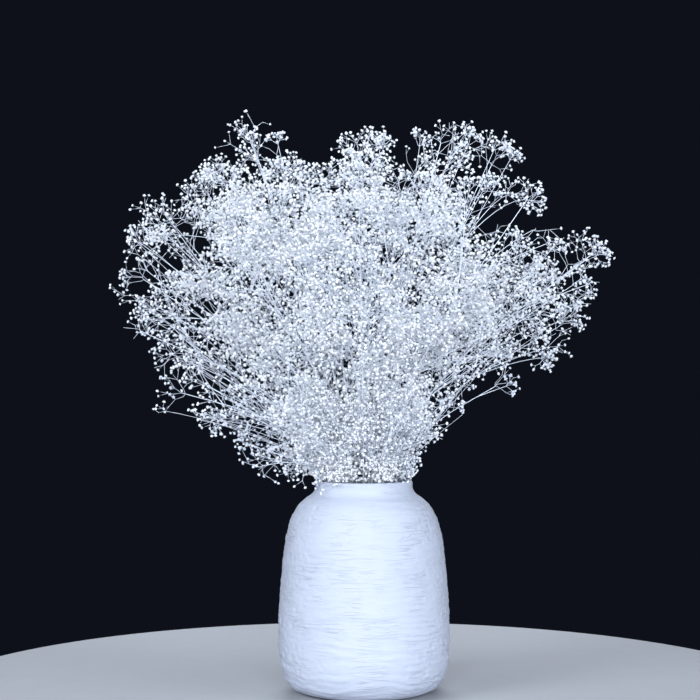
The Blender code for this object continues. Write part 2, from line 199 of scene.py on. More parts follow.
@dataclass(frozen=True)
class BunchOutline:
    """Outline of the bunch from the front, across and up, and how deep the bunch is beside its width."""

    points: tuple = (
        (-0.049, 0.206), (-0.095, 0.196), (-0.125, 0.232), (-0.175, 0.272), (-0.214, 0.300),
        (-0.207, 0.332), (-0.244, 0.372), (-0.255, 0.430), (-0.240, 0.478), (-0.190, 0.515),
        (-0.165, 0.545), (-0.138, 0.575), (-0.095, 0.574), (-0.068, 0.535), (-0.040, 0.532),
        (-0.005, 0.562), (0.036, 0.548), (0.075, 0.574), (0.140, 0.560), (0.178, 0.520), (0.190, 0.470),
        (0.252, 0.456), (0.250, 0.410), (0.215, 0.345), (0.175, 0.318), (0.110, 0.300), (0.078, 0.258),
        (0.049, 0.206),
    )
    depth_share: float = 0.80
    margin: float = 0.022

    def edges(self) -> Iterator[tuple]:
        """Pairs of neighbouring points round the outline."""
        return zip(self.points, self.points[1:] + self.points[:1])

    def span(self, height: float) -> tuple[float, float]:
        """Middle of the outline and half of its width at a height.

        Args:
            height: Height above the base.

        Returns:
            The middle and the half width.
        """
        crossings = []
        for (x0, z0), (x1, z1) in self.edges():
            if (z0 > height) != (z1 > height):
                crossings.append(x0 + (x1 - x0) * (height - z0) / (z1 - z0))
        low, high = min(crossings), max(crossings)
        return (low + high) / 2, (high - low) / 2

    def inside_by(self, x: float, z: float) -> float:
        """How far inside the outline a point lies, below zero where it is outside.

        Args:
            x: Place across.
            z: Place up.

        Returns:
            Distance to the nearest edge.
        """
        inside = False
        nearest = math.inf
        for (x0, z0), (x1, z1) in self.edges():
            if (z0 > z) != (z1 > z) and x < x0 + (x1 - x0) * (z - z0) / (z1 - z0):
                inside = not inside
            dx, dz = x1 - x0, z1 - z0
            along = ((x - x0) * dx + (z - z0) * dz) / (dx * dx + dz * dz)
            along = min(max(along, 0.0), 1.0)
            nearest = min(nearest, math.hypot(x0 + along * dx - x, z0 + along * dz - z))
        return nearest if inside else -nearest

    def holds(self, point: Vector) -> bool:
        """Whether a shoot may end here: inside the outline, and within an ellipse across the depth.

        Args:
            point: End of the shoot.

        Returns:
            Whether it may.
        """
        if self.inside_by(point.x, point.z) < self.margin:
            return False
        middle, half = self.span(point.z)
        share = (point.x - middle) / half
        return abs(point.y) < self.depth_share * half * math.sqrt(1 - share * share) - self.margin / 2


@dataclass
class Skyline:
    """Edge of the fine bunch as the camera sees it, and how its florets thin out towards it.

    Places on it are across and up, in the plane of the vase's axis that faces the camera. A thin spot is a
    place, a radius and the least share of florets there. A gap is a place and half of its width and height.
    """

    outline: BunchOutline = field(default_factory=BunchOutline)
    points: tuple = (
        (-0.050, 0.190), (-0.056, 0.197), (-0.075, 0.196), (-0.094, 0.207), (-0.108, 0.222),
        (-0.126, 0.226), (-0.124, 0.243), (-0.138, 0.252), (-0.157, 0.256), (-0.165, 0.277),
        (-0.180, 0.286), (-0.207, 0.277), (-0.215, 0.298), (-0.200, 0.309), (-0.209, 0.320),
        (-0.214, 0.347), (-0.240, 0.358), (-0.247, 0.374), (-0.244, 0.388), (-0.254, 0.405),
        (-0.242, 0.426), (-0.254, 0.448), (-0.250, 0.475), (-0.232, 0.480), (-0.227, 0.493),
        (-0.203, 0.496), (-0.192, 0.505), (-0.180, 0.513), (-0.174, 0.526), (-0.163, 0.539),
        (-0.150, 0.545), (-0.134, 0.547), (-0.141, 0.567), (-0.126, 0.580), (-0.101, 0.581),
        (-0.097, 0.567), (-0.083, 0.568), (-0.078, 0.554), (-0.082, 0.540), (-0.064, 0.532),
        (-0.055, 0.522), (-0.032, 0.526), (-0.033, 0.541), (-0.023, 0.551), (-0.005, 0.560),
        (0.014, 0.565), (0.025, 0.557), (0.034, 0.544), (0.038, 0.558), (0.056, 0.562), (0.081, 0.570),
        (0.097, 0.564), (0.122, 0.568), (0.138, 0.561), (0.146, 0.549), (0.158, 0.541), (0.160, 0.528),
        (0.140, 0.519), (0.142, 0.511), (0.158, 0.515), (0.171, 0.509), (0.186, 0.486), (0.186, 0.471),
        (0.178, 0.465), (0.196, 0.462), (0.203, 0.447), (0.214, 0.459), (0.249, 0.458), (0.254, 0.445),
        (0.250, 0.416), (0.234, 0.420), (0.231, 0.392), (0.219, 0.362), (0.207, 0.354), (0.207, 0.331),
        (0.197, 0.316), (0.167, 0.317), (0.159, 0.336), (0.141, 0.321), (0.116, 0.313), (0.104, 0.306),
        (0.132, 0.302), (0.138, 0.312), (0.152, 0.314), (0.153, 0.298), (0.136, 0.297), (0.131, 0.300),
        (0.101, 0.303), (0.096, 0.274), (0.079, 0.270), (0.081, 0.258), (0.078, 0.242), (0.055, 0.226),
        (0.049, 0.207), (0.050, 0.190),
    )
    thin_spots: tuple = (
        (0.115, 0.520, 0.022, 0.2), (0.036, 0.536, 0.026, 0.06), (-0.032, 0.546, 0.020, 0.1),
        (-0.170, 0.440, 0.018, 0.06), (-0.206, 0.418, 0.018, 0.06), (-0.226, 0.368, 0.020, 0.06),
        (-0.170, 0.310, 0.026, 0.06), (-0.122, 0.292, 0.030, 0.6), (-0.092, 0.258, 0.026, 0.45),
        (-0.110, 0.562, 0.022, 0.06), (-0.084, 0.216, 0.034, 0.06), (0.040, 0.500, 0.022, 0.4),
        (0.122, 0.466, 0.022, 0.3), (0.006, 0.450, 0.020, 0.45), (0.048, 0.392, 0.018, 0.35),
    )
    gaps: tuple = (
        (0.140, 0.4755, 0.026, 0.007), (0.172, 0.4670, 0.016, 0.005), (-0.166, 0.448, 0.010, 0.008),
        (-0.192, 0.425, 0.013, 0.007), (-0.226, 0.402, 0.010, 0.006), (-0.154, 0.383, 0.007, 0.007),
        (0.037, 0.540, 0.005, 0.016), (-0.052, 0.212, 0.004, 0.004),
    )
    overhang: float = 0.003
    fringe_heights: tuple = (0.20, 0.30, 0.34, 0.40, 0.43, 0.46, 0.50, 0.53, 0.56)
    left_fringe: tuple = (0.050, 0.068, 0.082, 0.096, 0.100, 0.090, 0.058, 0.050, 0.060)
    right_fringe: tuple = (0.044, 0.044, 0.052, 0.092, 0.116, 0.100, 0.056, 0.056, 0.084)
    middle_fringe: float = 0.038
    middle_reach: tuple = (-0.100, 0.034)
    least_fullness: float = 0.06
    spot_core: float = 0.3
    neck_heights: tuple = (0.21, 0.27)
    front_fringe: tuple = (0.010, 0.040)
    core: float = 0.095
    core_fullness: float = 0.50

    def __post_init__(self) -> None:
        """Keeps its edges as arrays."""
        corners = np.array(self.points)
        self.starts, self.ends = corners[:-1], corners[1:]
        self.steps = self.ends - self.starts

    def seen(self, point: Vector) -> tuple[float, float]:
        """Where a point shows, across and up."""
        spot = EYE + (point - EYE) * EYE.y / (EYE.y - point.y)
        return spot.x, spot.z

    def side_depth(self, x: float, z: float) -> float:
        """How deep a place lies in the bunch from its sides and its top, below zero where it is outside.

        Args:
            x: Place across.
            z: Place up.

        Returns:
            The depth.
        """
        offsets = np.array((x, z)) - self.starts
        along = np.clip((offsets * self.steps).sum(1) / (self.steps * self.steps).sum(1), 0, 1)
        apart = offsets - along[:, None] * self.steps
        nearest = float(np.sqrt((apart * apart).sum(1)).min())
        beside = (self.starts[:, 1] > z) != (self.ends[:, 1] > z)
        starts, steps = self.starts[beside], self.steps[beside]
        crossings = starts[:, 0] + steps[:, 0] * (z - starts[:, 1]) / steps[:, 1]
        inside = (x < crossings).sum() % 2 == 1
        return nearest if inside else -nearest

    def front_depth(self, point: Vector) -> float:
        """How deep a point lies in the bunch from its front and its back.

        Args:
            point: The point.

        Returns:
            The depth, below zero where it is outside.
        """
        outline = self.outline
        inset = outline.margin / 2
        lowest = outline.points[0][1] + inset
        highest = max(height for _, height in outline.points) - inset
        middle, half = outline.span(min(max(point.z, lowest), highest))
        share = min(abs(point.x - middle) / half, 1.0)
        return outline.depth_share * half * math.sqrt(1 - share * share) - abs(point.y)

    def fullness(self, point: Vector) -> float:
        """How many of the florets are there at a point, from a few at the fringe to 1 within.

        Args:
            point: The point.

        Returns:
            The share.
        """
        x, z = self.seen(point)
        side = self.side_depth(x, z)
        if side < 0:
            return self.least_fullness
        front = self.front_depth(point)
        low, high = self.middle_reach
        widths = self.left_fringe if x < low else self.right_fringe
        fringe = self.middle_fringe if low < x < high else float(np.interp(z, self.fringe_heights, widths))
        front_fringe = float(np.interp(point.z, self.neck_heights, self.front_fringe))
        share = min(side / fringe, front / front_fringe)
        full = min(max(share, self.least_fullness), 1.0)
        for middle_x, middle_z, radius, least in self.thin_spots:
            apart = math.hypot(x - middle_x, z - middle_z) / radius
            full *= min(max(apart - self.spot_core, least), 1.0)
        if min(side, front) > self.core:
            full *= self.core_fullness
        return full

    def is_open(self, point: Vector) -> bool:
        """Whether a point is in a gap that the front view has, or beyond the edge.

        Args:
            point: The point.

        Returns:
            Whether it is.
        """
        x, z = self.seen(point)
        for middle_x, middle_z, half_width, half_height in self.gaps:
            if math.hypot((x - middle_x) / half_width, (z - middle_z) / half_height) < 1:
                return True
        return self.side_depth(x, z) < -self.overhang


# Growth of the stems as lines

class Room:
    """Round-ended rods that stand for all that has grown, to test a new one against."""

    def __init__(self, clearance: float) -> None:
        """Starts empty.

        Args:
            clearance: Least space between a new rod and what has grown.
        """
        self.clearance = clearance
        self.starts = np.zeros((0, 3))
        self.ends = np.zeros((0, 3))
        self.radii = np.zeros(0)

    def add(self, rods: list[Rod]) -> None:
        """Takes up rods, each a start, an end and a radius.

        Args:
            rods: The rods.
        """
        for start, end, radius in rods:
            self.starts = np.vstack([self.starts, start])
            self.ends = np.vstack([self.ends, end])
            self.radii = np.append(self.radii, radius)

    def gap(self, start: Vector, end: Vector, radius: float) -> float:
        """Least distance from the skin of a rod to what has grown, by the nearest points of two segments.

        Args:
            start: One end of the rod.
            end: Its other end.
            radius: Its radius.

        Returns:
            The distance, below zero where they overlap.
        """
        if not len(self.radii):
            return math.inf
        start, end = np.array(start), np.array(end)
        along, others = end - start, self.ends - self.starts
        between = start - self.starts
        square = max(float(along @ along), TINY)
        squares = np.maximum((others * others).sum(1), TINY)
        crossed = others @ along
        ahead = between @ along
        beside = (others * between).sum(1)
        spread = np.maximum(square * squares - crossed * crossed, TINY)
        share = np.clip((crossed * beside - ahead * squares) / spread, 0, 1)
        other = np.clip((crossed * share + beside) / squares, 0, 1)
        share = np.clip((crossed * other - ahead) / square, 0, 1)
        apart = between + share[:, None] * along - other[:, None] * others
        return float((np.sqrt((apart * apart).sum(1)) - self.radii).min()) - radius

    def takes(self, rods: list[Rod]) -> bool:
        """Whether all of these rods are clear of what has grown."""
        return all(self.gap(*rod) > self.clearance for rod in rods)


@dataclass
class Whorl:
    """Stalks that spread from the end of a shoot, each a direction and a length."""

    centre: Vector
    stalks: list = field(default_factory=list)


@dataclass
class Branch:
    """A side branch: where on the stem it leaves, its line, the point it bows towards, and its whorl."""

    at: float
    line: list
    bow: Vector
    whorl: Whorl


@dataclass
class Stem:
    """A shaft from foot to tip, with the four points of its arch and all that grows from it."""

    name: str
    line: list
    arch: tuple
    foot_radius: float
    branches: list = field(default_factory=list)
    whorl: Whorl | None = None
    extra_shoots: list = field(default_factory=list)
    strand_ends: list = field(default_factory=list)

    def __post_init__(self) -> None:
        """Measures how far along the shaft each bend is."""
        self.marks = marks_along(self.line)
        self.length = self.marks[-1]

    def run(self, at: float) -> int:
        """Number of the straight run that holds the point this far along."""
        return next(i for i, mark in enumerate(self.marks[1:]) if at <= mark or mark == self.length)

    def direction(self, at: float) -> Vector:
        """Direction of the shaft there."""
        run = self.run(at)
        return (self.line[run + 1] - self.line[run]).normalized()

    def point(self, at: float) -> Vector:
        """Point in the middle of the shaft, this far along it."""
        run = self.run(at)
        return self.line[run] + self.direction(at) * (at - self.marks[run])

    def nearest(self, point: Vector) -> tuple[float, float]:
        """Distance to a point, and how far along the shaft it is nearest.

        Args:
            point: The point.

        Returns:
            The distance, and how far along.
        """
        found = []
        for mark, start, end in zip(self.marks, self.line, self.line[1:]):
            along = (end - start).normalized()
            at = min(max((point - start).dot(along), 0.0), (end - start).length)
            found.append(((start + along * at - point).length, mark + at))
        return min(found)

    def arch_share(self, at: float) -> float:
        """How far along its arch the shaft is there, from 0 at the neck to 1 at the tip.

        Args:
            at: How far along the shaft, from its foot.

        Returns:
            The share.
        """
        run = self.run(at)
        within = (at - self.marks[run]) / (self.marks[run + 1] - self.marks[run])
        return max(run - 1 + within, 0.0) / (len(self.line) - 2)

    def arch_point(self, share: float) -> Vector:
        """Point on the smooth arch that the bends of the shaft lie on."""
        return arched(*self.arch, share)


@dataclass(frozen=True)
class Habit:
    """How the plants grow: where the stems stand, how they arch, and how branches and whorls leave them."""

    tips: tuple = (
        (-0.114, 0.010, 0.549), (-0.160, 0.060, 0.500), (-0.203, -0.025, 0.462), (-0.224, 0.030, 0.412),
        (-0.217, -0.045, 0.358), (-0.180, 0.010, 0.296), (-0.100, -0.025, 0.226), (-0.006, 0.035, 0.536),
        (0.076, -0.015, 0.545), (0.130, 0.035, 0.528), (0.158, -0.050, 0.486), (0.222, 0.005, 0.430),
        (0.196, 0.040, 0.362), (0.130, -0.015, 0.304), (-0.110, -0.145, 0.420), (-0.005, -0.170, 0.430),
        (0.105, -0.150, 0.410), (-0.085, -0.125, 0.295), (0.050, -0.125, 0.290), (-0.100, 0.150, 0.430),
        (0.010, 0.170, 0.450), (0.115, 0.145, 0.415), (-0.065, 0.125, 0.295), (0.060, 0.120, 0.295),
        (0.036, -0.080, 0.488), (-0.060, -0.070, 0.488),
    )
    foot_radius: float = 0.0016
    foot_gap: float = 0.0003
    foot_spread: float = 0.55
    neck_spread: float = 0.0405
    neck_spacing: float = 0.0095
    neck_rise: float = 0.003
    neck_rounds: int = 200
    fan_height: float = 0.147
    widest_lean: float = math.radians(52)
    start_lean: float = 0.50
    end_lean: float = 1.25
    most_lean: float = math.radians(100)
    start_pull: float = 0.40
    end_pull: float = 0.35
    neck_carry: float = 0.30
    stem_bends: int = 6
    stem_sways: tuple = (0.0, 0.02, -0.02, 0.04, -0.04, 0.06, -0.06, 0.09, -0.09)
    seed: int = 7
    shoots: int = 146
    shoot_spacing: float = 0.043
    low_shoots: int = 26
    low_heights: tuple = (0.222, 0.280)
    heights: tuple = (0.240, 0.560)
    half_width: float = 0.240
    half_depth: float = 0.200
    most_darts: int = 6000
    nearest_stems: int = 4
    branch_tries: int = 16
    branch_radius: float = 0.00085
    branch_angles: tuple = (math.radians(18), math.radians(75))
    branch_drops: tuple = (0.6, 1.7)
    branch_bulges: tuple = (0.02, 0.16)
    bulge_place: float = 0.45
    long_branch: float = 0.055
    long_bends: tuple = (0.36, 0.70, 1.0)
    short_bends: tuple = (0.50, 1.0)
    node_length: float = 0.0024
    node_spacing: float = 0.0065
    lowest_node_rise: float = 0.006
    last_node: float = 0.020
    root: float = 0.007
    stalk_radius: float = 0.00045
    stalk_lengths: tuple = (0.018, 0.025)
    stalk_cuts: tuple = (1.0, 0.85, 0.72)
    stalk_splay: float = math.radians(58)
    splay_change: float = math.radians(8.5)
    side_stalks: int = 3
    fewest_stalks: int = 2
    head_radius: float = 0.0074
    clearance: float = 0.0008
    funnel_ball: tuple = (1.08, 0.45)


def rods_along(line: list[Vector], radius: float) -> list[Rod]:
    """Rods along a line."""
    return [(start, end, radius) for start, end in zip(line, line[1:])]


@dataclass
class Bunch:
    """Grows the stems of the bunch as lines, by the same draws as their solids."""

    vase: VaseForm = field(default_factory=VaseForm)
    outline: BunchOutline = field(default_factory=BunchOutline)
    habit: Habit = field(default_factory=Habit)

    def __post_init__(self) -> None:
        """Seeds the draws and starts with an empty room."""
        self.draw = random.Random(self.habit.seed)
        self.room = Room(self.habit.clearance)
        self.stems: list[Stem] = []

    def neck_places(self) -> list[Vector]:
        """Where each stem passes the neck: on its tip's side, low stems outermost, and pushed apart.

        Returns:
            The places, level from the vase's axis, in the order of the tips.
        """
        habit = self.habit
        places = []
        for tip in habit.tips:
            level, lean = lean_of(Vector(tip) - UP * habit.fan_height)
            places.append(level * habit.neck_spread * min(1.0, lean / habit.widest_lean))
        for _ in range(habit.neck_rounds):
            for i, place in enumerate(places):
                for other in places[:i]:
                    apart = max(0.0, habit.neck_spacing - (place - other).length)
                    push = (place - other).normalized() * apart / 2
                    place += push
                    other -= push
            for place in places:
                place *= min(1.0, habit.neck_spread / place.length)
        return places

    def grow_shaft(self, number: int, place: Vector, tip: Vector, sway: float) -> Stem:
        """A bare stem: straight from the vase's floor to the neck, then an arch to its tip.

        Args:
            number: Which stem it is, from 1.
            place: Where it passes the neck, from the vase's axis.
            tip: Where it ends.
            sway: How far its arch sways sideways, as a share of its reach.

        Returns:
            The stem, without branches.
        """
        habit = self.habit
        neck = place + UP * (self.vase.rim_height + habit.neck_rise)
        foot = place * habit.foot_spread + UP * (self.vase.floor_height + habit.foot_gap)
        foot.z += habit.foot_radius * math.sin((neck - foot).angle(UP))
        level, lean = lean_of(tip - neck)
        reach = (tip - neck).length
        aside = level.cross(UP) * reach * sway
        start = leaning(level, lean * habit.start_lean).lerp((neck - foot).normalized(), habit.neck_carry)
        first = neck + start * reach * habit.start_pull
        end_lean = min(lean * habit.end_lean, habit.most_lean)
        last = tip - leaning(level, end_lean) * reach * habit.end_pull + aside
        arch = (neck, first, last, tip)
        shares = [i / habit.stem_bends for i in range(habit.stem_bends + 1)]
        line = [foot] + [arched(*arch, share) for share in shares]
        return Stem(f"spray_{number:02d}", line, arch, habit.foot_radius)

    def grow_shafts(self) -> None:
        """Grows the bare stems, each with the least sway that keeps it clear of those before it."""
        radius = self.habit.foot_radius
        for number, (place, tip) in enumerate(zip(self.neck_places(), self.habit.tips), start=1):
            tries = (self.grow_shaft(number, place, Vector(tip), sway) for sway in self.habit.stem_sways)
            stem = next(stem for stem in tries if self.room.takes(rods_along(stem.line, radius)))
            self.stems.append(stem)
            self.room.add(rods_along(stem.line, radius))

    def stalk_rods(self, centre: Vector, direction: Vector, length: float) -> list[Rod]:
        """Rods for a stalk beyond its root, its head, and the funnel below the head.

        Args:
            centre: Middle of the whorl.
            direction: Direction of the stalk.
            length: How far the head is from the middle of the whorl.

        Returns:
            The rods.
        """
        habit = self.habit
        offset, share = habit.funnel_ball
        head = centre + direction * length
        funnel = head - direction * habit.head_radius * offset
        return [
            (centre + direction * habit.root, head, habit.stalk_radius),
            (head, head, habit.head_radius),
            (funnel, funnel, habit.head_radius * share),
        ]

    def grow_whorl(self, line: list[Vector]) -> Whorl:
        """The whorl that ends a line: a middle stalk and splayed ones, wherever their heads find room.

        Args:
            line: Line of the shoot.

        Returns:
            The whorl, with the stalks that found room.
        """
        habit = self.habit
        axis = end_way(line)
        side = turned(axis, axis.orthogonal().normalized(), self.draw.uniform(0, FULL_TURN))
        whorl = Whorl(line[-1])
        directions = [axis]
        for i in range(habit.side_stalks):
            outwards = turned(axis, side, FULL_TURN * i / habit.side_stalks)
            splay = habit.stalk_splay + self.draw.uniform(-habit.splay_change, habit.splay_change)
            directions.append(axis * math.cos(splay) + outwards * math.sin(splay))
        own = Room(habit.clearance)
        for direction in directions:
            length = self.draw.uniform(*habit.stalk_lengths)
            for share in habit.stalk_cuts:
                rods = self.stalk_rods(whorl.centre, direction, length * share)
                clear = self.vase.clears(rods[0][1], habit.head_radius, habit.clearance)
                if clear and own.takes(rods) and self.room.takes(rods):
                    whorl.stalks.append((direction, length * share))
                    own.add(rods)
                    break
        return whorl

    def whorl_rods(self, whorl: Whorl) -> list[Rod]:
        """Rods for all stalks of a whorl.

        Args:
            whorl: The whorl.

        Returns:
            The rods.
        """
        rods = []
        for direction, length in whorl.stalks:
            rods += self.stalk_rods(whorl.centre, direction, length)
        return rods

    def branch_rods(self, line: list[Vector]) -> list[Rod]:
        """Rods along a side branch, beyond its root in the stem."""
        root = line[0] + (line[1] - line[0]).normalized() * self.habit.root
        return rods_along([root] + line[1:], self.habit.branch_radius)

    def node_fits(self, stem: Stem, at: float) -> bool:
        """Whether a branch can leave here: over the rim, below the tip, clear of bends and other nodes.

        Args:
            stem: The stem.
            at: How far along it the branch would leave.

        Returns:
            Whether it can.
        """
        habit = self.habit
        lowest = self.vase.rim_height + habit.lowest_node_rise
        if stem.point(at).z < lowest or at > stem.length - habit.last_node:
            return False
        if any(abs(at - mark) < habit.node_length for mark in stem.marks):
            return False
        return all(abs(at - other.at) > habit.node_spacing for other in stem.branches)

    def branch_line(self, stem: Stem, at: float, end: Vector, bulge: float) -> tuple[list[Vector], Vector]:
        """Line of a branch that leaves the stem along it and bends over to its end, and its bow's point.

        Args:
            stem: The stem.
            at: How far along the stem it leaves.
            end: Where it ends.
            bulge: How far it bows, as a share of its reach.

        Returns:
            The line and the point that it bows towards.
        """
        habit = self.habit
        root = stem.point(at)
        reach = (end - root).length
        bow = root.lerp(end, habit.bulge_place) + stem.direction(at) * reach * bulge
        shares = habit.long_bends if reach > habit.long_branch else habit.short_bends
        line = [root * (1 - t) ** 2 + bow * (2 * t * (1 - t)) + end * t * t for t in shares]
        return [root] + line, bow

    def find_branch(self, end: Vector) -> tuple[Stem, float, list[Vector], Vector] | None:
        """A stem and a line from it to this end that is clear of all else, or None.

        Args:
            end: Where the branch ends.

        Returns:
            The stem, how far along it the branch leaves, the line and the point that it
            bows towards, or None.
        """
        habit = self.habit
        nearest = sorted((*stem.nearest(end), i) for i, stem in enumerate(self.stems))
        for away, closest, i in nearest[:habit.nearest_stems]:
            stem = self.stems[i]
            for _ in range(habit.branch_tries):
                at = closest - away * self.draw.uniform(*habit.branch_drops)
                bulge = self.draw.uniform(*habit.branch_bulges)
                if at <= 0 or not self.node_fits(stem, at):
                    continue
                line, bow = self.branch_line(stem, at, end, bulge)
                angle = (line[1] - line[0]).angle(stem.direction(at))
                if not habit.branch_angles[0] < angle < habit.branch_angles[1]:
                    continue
                rods = self.branch_rods(line)
                radius, clearance = habit.branch_radius, habit.clearance
                clear = all(self.vase.clears(start, radius, clearance) for start, _, _ in rods)
                if clear and self.room.takes(rods):
                    return stem, at, line, bow
        return None

    def add_branches(self, ends: list[Vector], heights: tuple, count: int) -> None:
        """Throws darts at the bunch between two heights, and grows a branch to each that finds room.

        Args:
            ends: Ends of all shoots, which the new ones join.
            heights: Lowest and highest place of a new end.
            count: How many ends there may be in all.
        """
        habit = self.habit
        for _ in range(habit.most_darts):
            if len(ends) >= count:
                return
            across = self.draw.uniform(-habit.half_width, habit.half_width)
            depth = self.draw.uniform(-habit.half_depth, habit.half_depth)
            end = Vector((across, depth, self.draw.uniform(*heights)))
            close = any((end - other).length < habit.shoot_spacing for other in ends)
            if not self.outline.holds(end) or close:
                continue
            if not self.vase.clears(end, habit.head_radius, habit.clearance):
                continue
            found = self.find_branch(end)
            if not found:
                continue
            stem, at, line, bow = found
            whorl = self.grow_whorl(line)
            if len(whorl.stalks) < habit.fewest_stalks:
                continue
            stem.branches.append(Branch(at, line, bow, whorl))
            ends.append(end)
            self.room.add(self.branch_rods(line) + self.whorl_rods(whorl))

    def grow(self) -> list[Stem]:
        """Grows all stems with their branches and whorls.

        Returns:
            The stems.
        """
        habit = self.habit
        self.grow_shafts()
        ends = [stem.line[-1] for stem in self.stems]
        for stem in self.stems:
            stem.whorl = self.grow_whorl(stem.line)
            self.room.add(self.whorl_rods(stem.whorl))
        self.add_branches(ends, habit.low_heights, len(self.stems) + habit.low_shoots)
        self.add_branches(ends, habit.heights, habit.shoots)
        return self.stems


def nearest_stem(stems: list[Stem], end: Vector) -> Stem:
    """The stem that passes nearest to a point."""
    return min(stems, key=lambda stem: stem.nearest(end)[0])


@dataclass(frozen=True)
class Shoot:
    """A shoot that only the fine sprays have.

    It is given by its end, its size beside a usual one, how full its tufts are, how far up the stem it
    leaves, how far it bows, and the stem that it leaves, or none for the nearest.
    """

    end: tuple
    size: float = 1.0
    full: float = 0.20
    root: float = 0.35
    lift: float = 0.12
    stem: str = ""


@dataclass(frozen=True)
class ExtraShoots:
    """Shoots that fill out the fringe and the middle of the bunch."""

    shoots: tuple = (
        Shoot((-0.106, -0.020, 0.526), full=0.34),
        Shoot((-0.114, 0.000, 0.552), 0.4),
        Shoot((-0.086, 0.000, 0.546), 0.4),
        Shoot((-0.078, 0.020, 0.510), full=0.67),
        Shoot((-0.134, 0.015, 0.506), full=0.34),
        Shoot((-0.144, -0.010, 0.512), 0.8, 0.34),
        Shoot((-0.170, 0.000, 0.486)),
        Shoot((-0.002, 0.000, 0.520), full=0.34),
        Shoot((0.016, 0.000, 0.542), 0.5, 0.34),
        Shoot((-0.038, -0.010, 0.502), full=0.67),
        Shoot((0.056, 0.010, 0.545), 0.6),
        Shoot((0.084, -0.020, 0.530), 0.8, 0.34),
        Shoot((0.104, 0.000, 0.545), 0.6),
        Shoot((0.130, 0.000, 0.540), 0.7),
        Shoot((0.146, 0.000, 0.530), 0.5, 0.34),
        Shoot((0.118, -0.010, 0.498), 0.7, 0.34, 0.60, 0.30, "spray_10"),
        Shoot((0.142, -0.010, 0.494), 0.7, 0.34, 0.66, 0.40, "spray_10"),
        Shoot((0.166, -0.005, 0.489), 0.6, 0.34, 0.72, 0.45, "spray_10"),
        Shoot((0.146, -0.030, 0.442), 0.6),
        Shoot((0.184, -0.020, 0.438), 0.5),
        Shoot((0.228, 0.000, 0.436), 0.6, 0.34),
        Shoot((0.206, -0.020, 0.404), 0.6),
        Shoot((0.212, -0.010, 0.388)),
        Shoot((0.196, -0.020, 0.370), 0.8, 0.34),
        Shoot((0.182, 0.010, 0.342), 1.0, 0.20, 0.70),
        Shoot((0.176, -0.010, 0.332), 0.5, 0.34, 0.70, 0.20, "spray_13"),
        Shoot((0.141, -0.010, 0.304), 0.3, 0.20, 0.85, 0.05, "spray_14"),
        Shoot((0.086, -0.050, 0.312), 0.8, 0.34),
        Shoot((0.080, -0.030, 0.284), 0.5),
        Shoot((-0.030, -0.145, 0.390), full=0.67),
        Shoot((0.020, -0.145, 0.372), full=0.67),
        Shoot((-0.014, -0.120, 0.340), full=0.67),
        Shoot((-0.222, -0.010, 0.446), 0.8),
        Shoot((-0.190, 0.020, 0.464)),
        Shoot((-0.198, 0.000, 0.448), 0.5),
        Shoot((-0.188, -0.030, 0.398), full=0.34),
        Shoot((-0.230, 0.010, 0.396)),
        Shoot((-0.190, -0.010, 0.335)),
        Shoot((-0.136, -0.030, 0.270), 0.6),
        Shoot((-0.112, -0.020, 0.246), 0.5),
        Shoot((-0.082, -0.040, 0.238), 0.5),
        Shoot((-0.066, -0.020, 0.222), 0.7),
        Shoot((-0.090, -0.020, 0.230), 0.7),
    )

    def share_out(self, stems: list[Stem]) -> None:
        """Gives each shoot to its stem.

        Args:
            stems: All stems of the bunch.
        """
        for shoot in self.shoots:
            named = [stem for stem in stems if stem.name == shoot.stem]
            (named or [nearest_stem(stems, Vector(shoot.end))])[0].extra_shoots.append(shoot)


@dataclass(frozen=True)
class Strands:
    """Fine, nearly bare side stems in loose fans: ends of a fan's first and last, and how many it has."""

    fans: tuple = (
        ((-0.164, -0.050, 0.342), (-0.150, -0.040, 0.268), 16),
        ((-0.230, -0.005, 0.444), (-0.226, 0.000, 0.382), 8),
        ((-0.205, -0.010, 0.300), (-0.186, -0.010, 0.290), 2),
        ((0.125, -0.045, 0.335), (0.086, -0.045, 0.278), 7),
        ((-0.110, -0.110, 0.305), (-0.055, -0.110, 0.262), 12),
        ((0.050, -0.110, 0.300), (0.058, -0.090, 0.262), 8),
    )
    scatter: float = 0.012
    seed: int = 3

    def share_out(self, stems: list[Stem]) -> None:
        """Gives each strand to the stem that is nearest to its end.

        Args:
            stems: All stems of the bunch.
        """
        draw = random.Random(self.seed)
        for first, last, count in self.fans:
            for i in range(count):
                end = Vector(first).lerp(Vector(last), i / (count - 1))
                end += Vector([draw.uniform(-self.scatter, self.scatter) for _ in range(3)])
                nearest_stem(stems, end).strand_ends.append(end)


# Nodes of a material

MIX_SHARE, MIX_FIRST, MIX_SECOND, MIX_RESULT = 0, 6, 7, 2


class Number:
    """A number that varies over a surface. Sums and products of it add Math nodes."""

    def __init__(self, board: "Board", socket: bpy.types.NodeSocket) -> None:
        """Keeps the socket and the board it is on."""
        self.board = board
        self.socket = socket

    def __add__(self, other: "Number | float") -> "Number":
        """Sum with another number."""
        return self.board.math("ADD", self, other)

    __radd__ = __add__

    def __sub__(self, other: "Number | float") -> "Number":
        """This number less another."""
        return self.board.math("SUBTRACT", self, other)

    def __rsub__(self, other: "Number | float") -> "Number":
        """Another number less this one."""
        return self.board.math("SUBTRACT", other, self)

    def __mul__(self, other: "Number | float") -> "Number":
        """Product with another number."""
        return self.board.math("MULTIPLY", self, other)

    __rmul__ = __mul__


